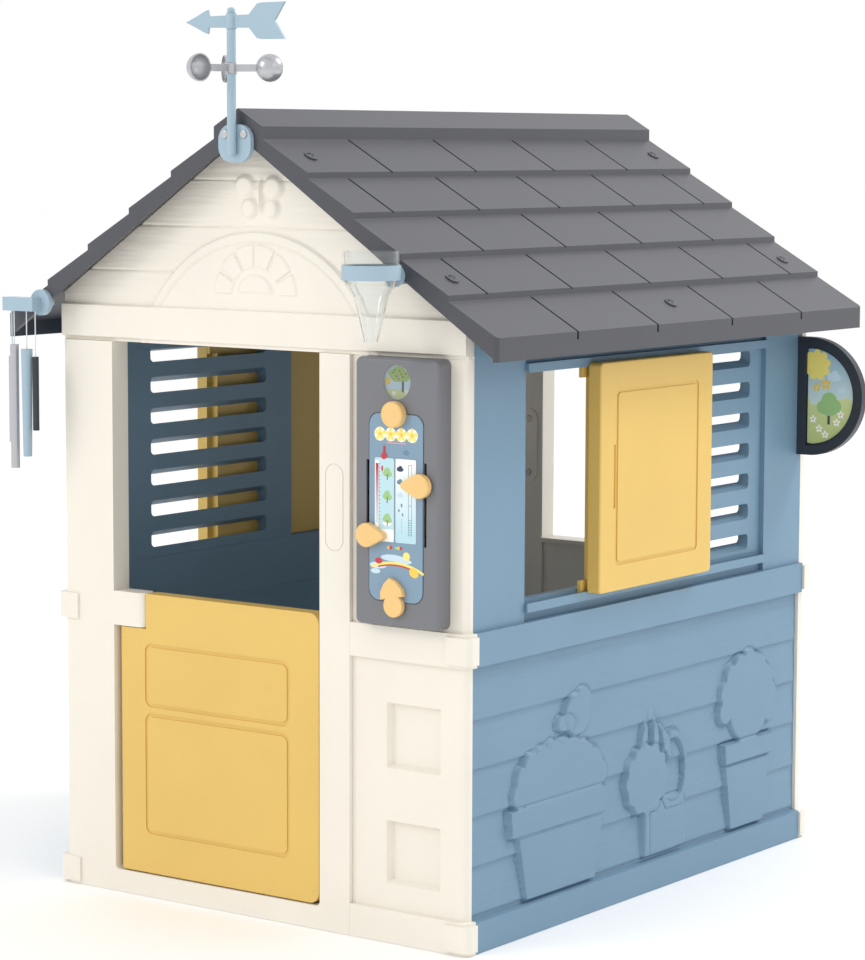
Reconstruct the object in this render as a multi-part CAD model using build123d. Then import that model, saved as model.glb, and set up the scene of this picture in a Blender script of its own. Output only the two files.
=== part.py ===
from build123d import *
import math
import os

# Plastic playhouse: four walls, a two-panel tiled roof, a half door, two sliding shutters and
# clip-on weather toys. Millimetres, +Z up. The origin is the middle of the floor rectangle,
# on the ground; +X runs along the front wall to its right-hand end, +Y runs to the back wall.

# ---------------------------------------------------------------- overall sizes
wall_width = 810.0            # outside faces of the side walls' fields
wall_depth = 1023.0           # outside faces of the front and back walls' fields
belt_proud = 8.0              # belts, door frame and lintel stand this far outside the fields
front_thick = 30.0            # field to inside face, front and back walls
side_thick = 28.0             # field to inside face, side walls
skin_thick = 14.0             # front and back skin that covers the side walls' ends
joint_gap = 0.3               # gap between neighbouring mouldings
corner_radius = 12.0          # upright outside corners of the front and back walls

base_top = 51.0               # top of the base belt
mid_low = 441.0               # middle belt
mid_high = 493.0
head_height = 905.0           # head of the doorway
lintel_low = 909.5            # lintel belt
lintel_high = 965.6
pad_width = 33.0              # little corner pads on the belts, from the corner inwards
pad_proud = 4.0
pad_margin = 5.0

# ---------------------------------------------------------------- doorway
door_post = 109.0             # outside corner to the doorway
door_width = 425.5
seam_reach = 58.5             # doorway to the seam between door frame and side panel
threshold_top = 37.0
doorway_fillet = 8.0
door_top = 499.0
door_thick = 28.0
door_recess = 2.6             # door face behind the door frame's face
door_edge_gap = 3.5           # free edge to the jamb
door_hinge_gap = 6.0          # rounded hinge edge to the post
door_foot_gap = 2.5
door_corner = 18.0
knuckle_low = 443.0           # the post's hinge knuckle
knuckle_high = 499.0
knuckle_reach = 65.4          # from the doorway's side
knuckle_gap = 1.6
pin_radius = 5.0
pin_clearance = 0.05
pin_bite = 30.0
groove_width = 6.0
groove_depth = 2.0
rib_split = 309.0             # height of the bar between the door's two grooved fields

# ---------------------------------------------------------------- side windows
window_near_post = 150.5      # front wall's face to the recess, right-hand wall
window_far_post = 140.5
window_sill = 526.0
window_head = 879.0
recess_depth = 8.0
mullion_reach = 417.6         # these three run from the recess's far end
louvre_near_reach = 347.0
louvre_far_reach = 39.0
louvre_count = 7
louvre_slot = 26.6            # clear height of each slot
louvre_thick = 19.0
louvre_slope = 5.0            # the slots rise by twice this towards the inside
louvre_round = 8.0
louvre_rest = 14.0
lip_thick = 4.0
lip_high = 14.0
ledge_thick = 6.0
ledge_low = 508.0
rail_head = 892.0
track_depth = 14.0
track_gap = 1.2

shutter_reach = 166.0         # recess's near end to the shutter, at rest
shutter_width = 340.0
shutter_low = 519.0
shutter_high = 885.0
shutter_thick = 23.0
shutter_proud = 30.0          # outside face beyond the wall's field
shutter_corner = 8.0
tongue_thick = 6.0
tongue_extra = 8.0            # the tongues run past the shutter's edges
shutter_margin = 45.0

# ---------------------------------------------------------------- roof
ridge_height = 1277.7
eave_reach = 83.0             # eave beyond the side walls
verge_reach = 46.0            # roof beyond the front and back walls
strip_half = 48.0             # ridge strip on each panel
strip_edge = 19.0
strip_drop = 27.7
tile_rows = 5
tile_step = 9.0
eave_top = 943.4
eave_low = 907.6
roof_skin = 8.0
roof_rest = 0.4               # roof skin above the gables and tabs
roof_tab_reach = 48.0
roof_tab_half = 22.0
roof_tab_thick = 8.0
rim_thick = 8.0
tile_length = 229.0
tile_groove = 5.0
tile_groove_depth = 3.5
tile_notch = 12.0             # how far the lowest row's grooves run down the eave
eave_round = 7.0
clip_radius = 11.0
clip_shank = 4.5
clip_eave_inset = 48.0
clip_ridge_x = 95.0
clip_wall_inset = 42.0
clip_clearance = 0.2

# ---------------------------------------------------------------- weather station
station_margin = 32.0         # station to the wall's corner
station_width = 157.0
station_low = 497.5
station_high = 905.0
station_depth = 31.5
station_wall = 3.5
station_corner = 10.0
board_half = 50.0
board_low = 537.0
board_high = 821.0
board_corner = 18.0
board_thick = 2.4
board_pocket = 1.4
board_gap = 1.6
lens_centre = 869.0
lens_radius = 26.0
slot_offset = 53.6            # slots either side of the station's centre line
slot_width = 5.6
slot_low = 623.0
slot_high = 750.0
slot_clearance = 0.5
card_low = 627.0
card_high = 754.0
card_thick = 1.0
knob_radius = 18.5
knob_thick = 13.0
knob_reach = 33.0             # circle centre to the tip
knob_tip = 6.0
knob_gap = 0.8
temperature_height = 635.5
rain_height = 716.0
pointer_height = 531.0
pointer_tilt = 10.0
axle_radius = 4.0
axle_clearance = 0.06
disc_radius = 73.5
disc_thick = 2.0

# ---------------------------------------------------------------- clip-on toys
vane_plate_half = 32.0
vane_plate_drop = 82.7        # plate's lower edge below the ridge
vane_plate_height = 58.0
vane_plate_thick = 8.0
pole_offset = 6.5             # pole axis in front of the plate's face
pole_radius = 7.0
pole_rise = 52.8              # pole's top above the ridge
spindle_radius = 3.5
hub_gap = 0.4
rotor_height = 15.5
vane_rise = 67.5              # vane's hub above the pole's top
vane_height = 24.0
cap_height = 8.0
arm_length = 62.0
cup_radius = 21.4
cup_wall = 2.0
rotor_angle = 20.6            # azimuth of the first arm
arrow_tip = 89.0
arrow_tail = 106.0
arrow_thick = 4.0

gauge_inset = 109.0           # gauge to the wall's corner
gauge_ring_radius = 44.5
gauge_ring_wall = 2.2
gauge_ring_drop = 12.53       # ring's foot below the rim's lower edge
gauge_ring_height = 22.0
gauge_rim_rise = 42.5         # these three are measured from the ring's foot
gauge_waist_drop = 23.5
gauge_foot_drop = 92.5
gauge_wall = 2.0
gauge_clearance = 0.4
clamp_radius = 21.0
clamp_thick = 8.0
jaw_thick = 5.0
jaw_gap = 0.3

chime_reach = 5.0             # chime's boss beyond the wall's corner
chime_rise = 5.82             # boss above the rim's lower edge
bar_reach = 64.0              # boss to the bar's end
bar_drop = 14.0               # bar's underside below the boss
bar_height = 22.0
bar_depth = 20.0
string_radius = 0.8
sign_radius = 103.0
sign_flat = 24.0
sign_height = 789.0
sign_inset = 29.5             # back wall's face to the sign's middle
sign_thick = 16.0
sign_border = 17.0

# ---------------------------------------------------------------- worked-out places
x_side = wall_width / 2
x_belt = x_side + belt_proud
x_in = x_side - side_thick
y_field = wall_depth / 2
y_frame = y_field + belt_proud
eave_half = x_side + eave_reach
roof_half_length = y_field + verge_reach
y_in = y_field - front_thick
y_skin = y_field - skin_thick
side_end = y_skin - joint_gap
x_tongue = x_in - joint_gap
window_mid = (window_sill + window_head) / 2
row_run = (eave_half - strip_half) / tile_rows
strip_foot = ridge_height - strip_drop - strip_edge
row_fall = (strip_foot - eave_top - (tile_rows - 1) * tile_step) / tile_rows
roof_fall = (row_fall + tile_step) / row_run
door_left = door_post - x_side
door_right = door_left + door_width
panel_seam = door_right + seam_reach
window_near = window_near_post - y_field
window_far = y_field - window_far_post
mullion_near = window_far - mullion_reach
louvre_near = window_far - louvre_near_reach
louvre_far = window_far - louvre_far_reach
shutter_near = window_near + shutter_reach
shutter_face = x_side + shutter_proud
station_right = x_side - station_margin
station_left = station_right - station_width
vane_plate_low = ridge_height - vane_plate_drop
vane_plate_high = vane_plate_low + vane_plate_height
pole_top = ridge_height + pole_rise
vane_low = pole_top + vane_rise
gauge_x = x_side - gauge_inset
gauge_ring_low = eave_low + roof_fall * (eave_half - gauge_x) - gauge_ring_drop
gauge_ring_high = gauge_ring_low + gauge_ring_height
gauge_rim = gauge_ring_low + gauge_rim_rise
gauge_waist = gauge_ring_low - gauge_waist_drop
gauge_foot = gauge_ring_low - gauge_foot_drop
chime_disc_x = -x_side - chime_reach
chime_disc_z = eave_low + roof_fall * (eave_half + chime_disc_x) + chime_rise
bar_left = chime_disc_x - bar_reach
bar_low = chime_disc_z - bar_drop
bar_high = bar_low + bar_height
sign_y = y_field - sign_inset
station_x = (station_left + station_right) / 2
station_face = -y_field - station_depth
door_axis_x = door_left + door_hinge_gap + door_thick / 2
door_face = -y_frame + door_recess
door_axis_y = door_face + door_thick / 2
door_low = threshold_top + door_foot_gap
roof_rim_y = -roof_half_length
clamp_y = roof_rim_y - jaw_gap - clamp_thick
vane_face_y = roof_rim_y - jaw_gap - vane_plate_thick
spindle_y = vane_face_y - pole_offset
tab_end = x_side + roof_tab_reach


def block(x0, x1, y0, y1, z0, z1):
    """A box between two corners."""
    return Pos((x0 + x1) / 2, (y0 + y1) / 2, (z0 + z1) / 2) * Box(x1 - x0, y1 - y0, z1 - z0)


def prism_y(points, y0, y1):
    """An outline of (x, z) points, pushed along Y."""
    wire = Polyline(*[(x, y0, z) for x, z in points], close=True)
    return extrude(make_face(wire), amount=y1 - y0, dir=(0, 1, 0))


def prism_x(points, x0, x1):
    """An outline of (y, z) points, pushed along X."""
    wire = Polyline(*[(x0, y, z) for y, z in points], close=True)
    return extrude(make_face(wire), amount=x1 - x0, dir=(1, 0, 0))


def rod(start, direction, length, radius):
    """A round bar from a point along a direction."""
    return extrude(Plane(start, z_dir=direction) * Circle(radius), amount=length)


def slab_y(x0, x1, z0, z1, radius, y0, y1):
    """A plate facing Y with rounded corners."""
    plane = Plane(((x0 + x1) / 2, y0, (z0 + z1) / 2), x_dir=(1, 0, 0), z_dir=(0, -1, 0))
    face = plane * RectangleRounded(x1 - x0, z1 - z0, radius)
    return extrude(face, amount=y1 - y0, dir=(0, 1, 0))


def slab_x(y0, y1, z0, z1, radius, x0, x1):
    """A plate facing X with rounded corners."""
    plane = Plane((x0, (y0 + y1) / 2, (z0 + z1) / 2), x_dir=(0, 1, 0), z_dir=(1, 0, 0))
    face = plane * RectangleRounded(y1 - y0, z1 - z0, radius)
    return extrude(face, amount=x1 - x0, dir=(1, 0, 0))


def ring_groove_y(x0, x1, z0, z1, radius, y, depth):
    """A rounded-rectangle groove cut into a face at y that looks along -Y."""
    outer = slab_y(x0, x1, z0, z1, radius, y, y + depth)
    w = groove_width
    return outer - slab_y(x0 + w, x1 - w, z0 + w, z1 - w, radius - w / 2, y, y + depth)


def turned(shape):
    """The same moulding on the opposite side of the house."""
    return shape.rotate(Axis.Z, 180)


def upright_edges(shape, x, y, reach=0.6):
    """Vertical edges of a shape close to (x, y)."""
    found = []
    for edge in shape.edges().filter_by(Axis.Z):
        middle = edge.center()
        if abs(middle.X - x) < reach and abs(middle.Y - y) < reach:
            found.append(edge)
    return found


def save(name, *solids):
    """Write one node."""
    piece = solids[0] if len(solids) == 1 else Compound(children=list(solids))
    if isinstance(piece, ShapeList):
        piece = Compound(children=list(piece))
    export_step(piece, "parts/" + name + ".step")


# ---------------------------------------------------------------- front and back walls
def belt_pad(side, z0, z1):
    """A pad that wraps the outside corner of a belt; side is -1 or +1 along X."""
    a = side * (x_side - pad_width)
    b = side * (x_belt + pad_proud)
    low, high = min(a, b), max(a, b)
    pad = block(low, high, -y_frame - pad_proud, -y_skin, z0 + pad_margin, z1 - pad_margin)
    return fillet(upright_edges(pad, b, -y_frame - pad_proud), corner_radius)


def wall_corner(side, z0, z1, proud):
    """The upright end of a front wall moulding, with the rebate that the side wall fills."""
    x = side * (x_side + (belt_proud if proud else 0))
    y = -y_frame if proud else -y_field
    inner = side * (x_tongue - 40)
    low, high = min(x, inner), max(x, inner)
    skin = block(low, high, y, -y_skin, z0, z1)
    return fillet(upright_edges(skin, x, y), corner_radius)


def corner_lugs(side, heights):
    """Lugs inside the corner that the corner screws pass through."""
    x = side * x_tongue
    inner = side * (x_tongue - lug_thick)
    low, high = min(x, inner), max(x, inner)
    lugs = [block(low, high, -y_in - joint_gap, -y_in + lug_reach, z - lug_half, z + lug_half)
            for z in heights]
    holes = [rod((x - side * 20, -y_in + lug_reach / 2, z), (side, 0, 0), 40,
                 screw_shank + screw_clearance) for z in heights]
    return [lug - hole for lug, hole in zip(lugs, holes)]


lug_thick = 6.0
lug_reach = 26.0
lug_half = 20.0
lug_heights = (200.0, 720.0)
screw_head = 6.5
screw_head_thick = 3.0
screw_shank = 2.2
screw_clearance = 0.1
screw_length = 18.0


def door_frame():
    """Post, threshold and jamb in one moulding around the doorway."""
    post = block(-x_tongue, door_left, -y_frame, -y_in, 0, head_height)
    jamb = block(door_right, panel_seam, -y_frame, -y_in, 0, head_height)
    foot = block(door_left, door_right, -y_frame, -y_in, 0, threshold_top)
    frame = post + jamb + foot
    inner_edges = [e for e in frame.edges().filter_by(Axis.Y)
                   if abs(e.center().Z - threshold_top) < 0.5]
    frame = fillet(inner_edges, doorway_fillet)
    skin = block(-x_side, -x_tongue, -y_frame, -y_skin, 0, head_height)
    frame = frame + fillet(upright_edges(skin, -x_side, -y_frame), corner_radius)
    for z0, z1 in ((0, base_top), (mid_low, mid_high)):
        frame = frame + belt_pad(-1, z0, z1)
    for lug in corner_lugs(-1, lug_heights):
        frame = frame + lug
    return frame


def stadium_groove():
    """Outline of the joint plate, pressed into the jamb's face."""
    x0, x1, z0, z1 = plate_left, plate_right, plate_low, plate_high
    half = (x1 - x0) / 2
    line = 2.0
    outer = slab_y(x0, x1, z0, z1, half - 0.01, -y_frame, -y_frame + 1.2)
    return outer - slab_y(x0 + line, x1 - line, z0 + line, z1 - line, half - line - 0.01,
                          -y_frame, -y_frame + 1.2)


plate_left = panel_seam - 47.5
plate_right = plate_left + 36
plate_low = 600.0
plate_high = 736.0
plate_thick = 3.5


def knuckle():
    """The hinge knuckle that grows out of the post, with its pin socket."""
    end = door_left + knuckle_reach
    half = door_axis_y + y_frame
    arm = block(door_left - 10, end - half, door_axis_y - half, door_axis_y + half,
                knuckle_low, knuckle_high)
    nose = rod((end - half, door_axis_y, knuckle_low), (0, 0, 1),
               knuckle_high - knuckle_low, half)
    return arm + nose


def pin_socket(z0, z1):
    """Bore for a door pin."""
    return rod((door_axis_x, door_axis_y, z0), (0, 0, 1), z1 - z0, pin_radius + pin_clearance)


def front_door_frame():
    frame = door_frame() + knuckle() - stadium_groove()
    frame = frame - pin_socket(knuckle_low - 1, knuckle_low + pin_bite)
    frame = frame - pin_socket(threshold_top - pin_bite + 8, threshold_top + 1)
    return frame - plate_screw_holes()


def plate_screw_holes():
    """Blind holes on the inside for the joint plate's two screws."""
    holes = [rod(p, (0, -1, 0), screw_length - 2, screw_shank + screw_clearance)
             for p in plate_screw_points(-y_in)]
    return Compound(children=holes)


def plate_screw_points(y):
    half = (plate_right - plate_left) / 2
    x = (plate_left + plate_right) / 2
    return [(x, y, plate_low + half), (x, y, plate_high - half)]


def side_panel(with_station):
    """Narrow panel to the right of the door frame, with belts and two square recesses."""
    left = panel_seam + joint_gap
    core = block(left, x_tongue, -y_field, -y_in, 0, head_height)
    core = core + wall_corner(1, 0, head_height, False)
    for z0, z1 in ((0, base_top), (mid_low, mid_high)):
        core = core + block(left, x_tongue, -y_frame, -y_in, z0, z1)
        core = core + wall_corner(1, z0, z1, True) + belt_pad(1, z0, z1)
    for z0, z1 in ((92.0, 190.0), (272.0, 374.0)):
        core = core - square_recess(254.0, 356.0, z0, z1)
    for lug in corner_lugs(1, lug_heights):
        core = core + lug
    if with_station:
        for x, z in station_screw_points():
            core = core - rod((x, -y_in + 1, z), (0, -1, 0), front_thick + 2,
                              screw_shank + screw_clearance)
    return core


def square_recess(x0, x1, z0, z1):
    """A shallow square pocket with sloping sides."""
    plane = Plane(((x0 + x1) / 2, -y_field, (z0 + z1) / 2), x_dir=(1, 0, 0), z_dir=(0, -1, 0))
    face = plane * RectangleRounded(x1 - x0, z1 - z0, 3)
    return extrude(face, amount=-recess_pocket, taper=recess_taper)


recess_pocket = 12.0
recess_taper = 25.0


def roof_underside(x):
    """Height of the roof skin's underside at a distance x from the ridge."""
    return strip_foot - roof_skin - roof_fall * (abs(x) - strip_half)


def gable():
    """Triangular wall top with the lintel belt and sawn-plank joints."""
    low = head_height + joint_gap
    shoulder = roof_underside(x_side) - roof_rest
    peak = roof_underside(0) - roof_rest
    outline = [(-x_tongue, low), (x_tongue, low), (x_tongue, roof_underside(x_tongue) - roof_rest),
               (0, peak), (-x_tongue, roof_underside(x_tongue) - roof_rest)]
    wall = prism_y(outline, -y_field, -y_in)
    for side in (-1, 1):
        wall = wall + wall_corner(side, low, shoulder, False)
    for side in (-1, 1):
        wall = wall + wall_corner(side, lintel_low, lintel_high, True)
    wall = wall + block(-x_tongue, x_tongue, -y_frame, -y_in, lintel_low, lintel_high)
    for z in plank_lines:
        wall = wall - plank_groove(z)
    for x, y in clip_points()[:2]:
        wall = wall - clip_bore(x, y)
        wall = wall - clip_bore(-x, y)
    return wall


plank_lines = (1021.0, 1094.0, 1167.0)


def plank_groove(z):
    """V-shaped joint line between two planks."""
    v = 2.5
    points = [(-y_field - 1, z - v - 1), (-y_field + v, z), (-y_field - 1, z + v + 1)]
    return prism_x(points, -x_side, x_side)


def back_lower_panel():
    """Fixed panel below the back window, where the front wall has its door."""
    left = -door_right + joint_gap
    right = -door_left - joint_gap
    panel = block(left, right, y_in + 6, y_frame - 4, threshold_top + joint_gap, window_shelf)
    panel = panel + block(left, right, y_in - 10, y_frame, window_shelf - 8, window_shelf)
    for z in (190.0, 343.0):
        panel = panel - block(left + 45, right - 45, y_frame - 4 - groove_depth, y_frame, z - 2, z + 2)
    for x in (left, right):
        panel = panel - block(x - doorway_fillet, x + doorway_fillet, y_in, y_frame,
                              threshold_top, threshold_top + doorway_fillet)
    return panel


window_shelf = 498.0


# ---------------------------------------------------------------- side walls
def lower_panel():
    """Right-hand wall below the middle belt: overlapping boards above a base belt."""
    panel = block(x_in, x_side, -side_end, side_end, 0, mid_low)
    panel = panel + block(x_in, x_belt, -side_end, side_end, 0, base_top)
    for z in board_lines[1:]:
        v = board_step
        points = [(x_side + 1, z), (x_side - v, z), (x_side, z - board_lap),
                  (x_side + 1, z - board_lap)]
        wire = Polyline(*[(x, -side_end, h) for x, h in points], close=True)
        panel = panel - extrude(make_face(wire), amount=2 * side_end, dir=(0, 1, 0))
    for y in (-1, 1):
        for z in lug_heights[:1]:
            panel = panel - side_screw_hole(y, z)
    return panel


board_lines = (58.0, 133.0, 210.0, 283.0, 358.0)
board_step = 4.0
board_lap = 60.0


def side_screw_hole(side, z):
    """Blind hole on the inside face for a corner screw."""
    y = side * (y_in - lug_reach / 2)
    return rod((x_in - 1, y, z), (1, 0, 0), screw_length - lug_thick + 2,
               screw_shank + screw_clearance)


def window_frame():
    """Right-hand wall above the lower panel: middle belt, uprights, lintel and shutter track."""
    low = mid_low + joint_gap
    wall = block(x_in, x_side, -side_end, side_end, low, lintel_high)
    wall = wall + block(x_in, x_belt, -side_end, side_end, low, mid_high)
    wall = wall + block(x_in, x_belt, -side_end, side_end, lintel_low, lintel_high)
    wall = wall - block(x_in - 1, x_belt, window_near, window_far, window_sill, window_head)
    back = x_side - recess_depth
    wall = wall - block(back, x_belt + 1, window_near, window_far, mid_high, lintel_low)
    lip_out = back + track_depth
    rails = ((ledge_low, ledge_low + ledge_thick, ledge_low + lip_high),
             (rail_head - ledge_thick, rail_head, rail_head - lip_high))
    for z0, z1, tip in rails:
        wall = wall + block(back, lip_out, window_near, window_far, z0, z1)
        wall = wall + block(lip_out - lip_thick, lip_out, window_near, window_far,
                            min(z0, tip), max(z1, tip))
    wall = wall + roof_tab()
    wall = wall - rod((eave_half - clip_eave_inset, 0, lintel_high - 60), (0, 0, 1), 70,
                      clip_shank + clip_clearance)
    for y in (-1, 1):
        for z in lug_heights[1:]:
            wall = wall - side_screw_hole(y, z)
    return wall


def roof_tab():
    """Tongue under the eave that the middle roof clip screws into."""
    low_end = roof_underside(tab_end) - roof_rest
    bend = strip_half + (strip_foot - roof_skin - roof_rest - lintel_high) / roof_fall
    outline = [(x_in + 4, lintel_high - roof_tab_thick), (bend, lintel_high - roof_tab_thick),
               (tab_end, low_end - roof_tab_thick), (tab_end, low_end), (bend, lintel_high),
               (x_in + 4, lintel_high)]
    return prism_y(outline, -roof_tab_half, roof_tab_half)


def louvres():
    """Louvre insert for the far half of the window: a plate with sloping round-ended slots."""
    near = mullion_near
    far = window_far - joint_gap
    back = x_in + 0.5
    front = back + louvre_thick
    low = window_sill + joint_gap
    high = window_head - joint_gap
    insert = block(back, front, near, far, low, high)
    pitch = (high - low + louvre_rest) / louvre_count
    middle = (louvre_near + louvre_far) / 2
    for k in range(louvre_count):
        z = high - louvre_slot / 2 - k * pitch
        plane = Plane((front + 1, middle, z - louvre_slope), x_dir=(0, 1, 0), z_dir=(1, 0, 0))
        mouth = plane * RectangleRounded(louvre_far - louvre_near, louvre_slot, louvre_round)
        slot = extrude(mouth, amount=2 * louvre_thick,
                       dir=(-1, 0, 2 * louvre_slope / louvre_thick))
        insert = insert - slot
    return insert


def shutter():
    """Sliding shutter that straddles the track's lips."""
    near, far = shutter_near, shutter_near + shutter_width
    plate_in = shutter_face - shutter_thick
    plate = slab_x(near, far, shutter_low, shutter_high, shutter_corner, plate_in, shutter_face)
    edges = plate.faces().sort_by(Axis.X)[-1].edges()
    plate = fillet(edges, 3)
    back = x_side - recess_depth
    tongue = back + track_gap
    core_low = ledge_low + lip_high + 5
    core_high = rail_head - lip_high - 5
    core = block(tongue, plate_in, near + 12, far - 12, core_low, core_high)
    body = plate + core
    for z0, z1 in ((ledge_low + ledge_thick + track_gap, core_low + 12),
                   (core_high - 12, rail_head - ledge_thick - track_gap)):
        body = body + block(tongue, tongue + tongue_thick, near - tongue_extra,
                            far + tongue_extra, z0, z1)
    inset = shutter_margin
    w = groove_width
    outer = slab_x(near + inset, far - inset, shutter_low + 41, shutter_high - 44, 10,
                   shutter_face - groove_depth, shutter_face)
    inner = slab_x(near + inset + w, far - inset - w, shutter_low + 41 + w,
                   shutter_high - 44 - w, 7, shutter_face - groove_depth, shutter_face)
    grip = slab_x(near + 38, near + 44, 652, 754, 2.9, shutter_face - groove_depth, shutter_face)
    return body - (outer - inner) - grip


# ---------------------------------------------------------------- roof
def roof_panel():
    """Right-hand roof panel: ridge strip, five stepped tile rows, eave fascia and end rims."""
    top = [(joint_gap / 2, ridge_height), (strip_half, ridge_height - strip_drop)]
    x, z = strip_half, strip_foot
    for k in range(tile_rows):
        top.append((x, z))
        x, z = x + row_run, z - row_fall
        top.append((x, z))
        z = z - tile_step
    top.append((eave_half, eave_low))
    under = [(eave_half - roof_skin, eave_low), (eave_half - roof_skin,
             roof_underside(eave_half - roof_skin)), (joint_gap / 2, roof_underside(0))]
    panel = prism_y(top + under, roof_rim_y, -roof_rim_y)
    panel = fillet(eave_corners(panel), eave_round)
    rim = [(joint_gap / 2, roof_underside(0) + 2), (joint_gap / 2, rim_bottom(0)),
           (eave_half - eave_round, rim_bottom(eave_half - eave_round)),
           (eave_half - eave_round, eave_low + 30),
           (eave_half - roof_skin, roof_underside(eave_half - roof_skin) + 2)]
    for y0 in (roof_rim_y, -roof_rim_y - rim_thick):
        panel = panel + prism_y(rim, y0, y0 + rim_thick)
    for cut in tile_grooves():
        panel = panel - cut
    for x, y in clip_points():
        panel = panel - clip_bore(x, y)
    x, z = vane_screw_points()[1]
    for y in (roof_rim_y, -roof_rim_y):
        panel = panel - rod((x, y - 15, z), (0, 1, 0), 30, screw_shank + screw_clearance)
    return panel


def eave_corners(panel):
    """Upright corners at the two ends of the eave."""
    found = []
    for y in (roof_rim_y, -roof_rim_y):
        found += upright_edges(panel, eave_half, y)
    return found


def rim_bottom(x):
    """Lower edge of the end rim."""
    return eave_low + roof_fall * (eave_half - x)


def row_start(k):
    """Upper inner corner of a tile row."""
    return strip_half + k * row_run, strip_foot - k * (row_fall + tile_step)


def tile_joints(k):
    """Places of the joints between the tiles of a row; odd rows are staggered."""
    shift = tile_length / 2 if k % 2 == 0 else 0.0
    count = int(roof_half_length // tile_length) + 1
    places = [shift + n * tile_length for n in range(-count - 1, count + 1)]
    return [y for y in places if abs(y) < roof_half_length - 40]


def tile_grooves():
    """Straight grooves down the slope between neighbouring tiles."""
    cuts = []
    for k in range(tile_rows):
        x, z = row_start(k)
        end_x, end_z = x + row_run, z - row_fall
        depth = tile_groove_depth
        points = [(x + 0.5, z + 4), (x + 0.5, z - depth)]
        if k < tile_rows - 1:
            points += [(end_x + 2, end_z - depth), (end_x + 2, end_z + 4)]
        else:
            points += [(end_x - depth, end_z - depth), (end_x - depth, end_z - tile_notch),
                       (end_x + 2, end_z - tile_notch), (end_x + 2, end_z + 4)]
        for y in tile_joints(k):
            cuts.append(prism_y(points, y - tile_groove / 2, y + tile_groove / 2))
    return cuts


def clip_points():
    """Quarter-turn roof clips: two over each gable and one at the eave."""
    y = y_field - front_thick / 2
    x0, x1 = clip_ridge_x, x_side - clip_wall_inset
    return [(x0, -y), (x1, -y), (x0, y), (x1, y), (eave_half - clip_eave_inset, 0.0)]


def roof_top(x):
    """Height of the tiled surface at x."""
    k = min(int((x - strip_half) // row_run), tile_rows - 1)
    start_x, start_z = row_start(k)
    return start_z - (x - start_x) * row_fall / row_run


def clip_bore(x, y):
    """Upright bore for a roof clip."""
    z = roof_top(abs(x))
    return rod((x, y, z - 60), (0, 0, 1), 70, clip_shank + clip_clearance)


def roof_clip(x, y):
    """Clip head that follows the slope, with a curved key slot, and its shank."""
    tilt = math.degrees(math.atan2(row_fall, row_run))
    z = roof_top(x)
    head = Plane((x, y, z), x_dir=(math.cos(math.radians(tilt)), 0, -math.sin(math.radians(tilt))),
                 z_dir=(math.sin(math.radians(tilt)), 0, math.cos(math.radians(tilt))))
    disc = extrude(head.offset(0.15) * Circle(clip_radius), amount=2.0)
    slot = extrude(head.offset(1.1) * (Circle(8.0) - Circle(4.5)), amount=2.0)
    slot = slot & extrude(head.offset(1.0) * Pos(-8, 0) * Rectangle(16, 30), amount=4.0)
    reach = roof_underside(x) - roof_tab_thick if y == 0 else z - 40
    shank = rod((x, y, reach), (0, 0, 1), z + 1 - reach, clip_shank)
    return disc + shank - slot


# ---------------------------------------------------------------- door
def door_panel():
    """Half door with a rounded hinge edge, a notch for the knuckle and two grooved fields."""
    left = door_left + door_hinge_gap
    right = door_right - door_edge_gap
    half = door_thick / 2
    y0, y1 = door_face, door_face + door_thick
    plate = slab_y(left + half, right, door_low, door_top, door_corner, y0, y1)
    plate = plate + block(left + half, left + half + 30, y0, y1, door_low, knuckle_low - knuckle_gap)
    barrel = rod((left + half, door_axis_y, door_low), (0, 0, 1),
                 knuckle_low - knuckle_gap - door_low, half)
    notch_right = door_left + knuckle_reach + knuckle_gap
    plate = plate - block(left - 20, notch_right, y0 - 1, y1 + 1, knuckle_low - knuckle_gap,
                          door_top + 1)
    face = plate + barrel
    x0, x1 = left + 58, right - 58
    for z0, z1 in ((104.0, rib_split - 5), (rib_split + 5, 418.0)):
        face = face - ring_groove_y(x0, x1, z0, z1, 14, y0, groove_depth)
    for z0, length in ((door_low - 1, pin_bite), (knuckle_low - knuckle_gap - pin_bite, pin_bite + 1)):
        face = face - rod((door_axis_x, door_axis_y, z0), (0, 0, 1), length, pin_radius)
    return face


def door_pins():
    """Upper and lower hinge pins, fast in the door and free in the frame."""
    upper = rod((door_axis_x, door_axis_y, knuckle_low - knuckle_gap - pin_bite + 1), (0, 0, 1),
                2 * pin_bite - 2, pin_radius)
    lower = rod((door_axis_x, door_axis_y, threshold_top - pin_bite + 10), (0, 0, 1),
                2 * pin_bite - 12, pin_radius)
    return [upper, lower]


# ---------------------------------------------------------------- weather station
def station_screw_points():
    return [(station_left + 14, station_low + 14), (station_right - 14, station_low + 14),
            (station_left + 14, station_high - 14), (station_right - 14, station_high - 14)]


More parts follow.
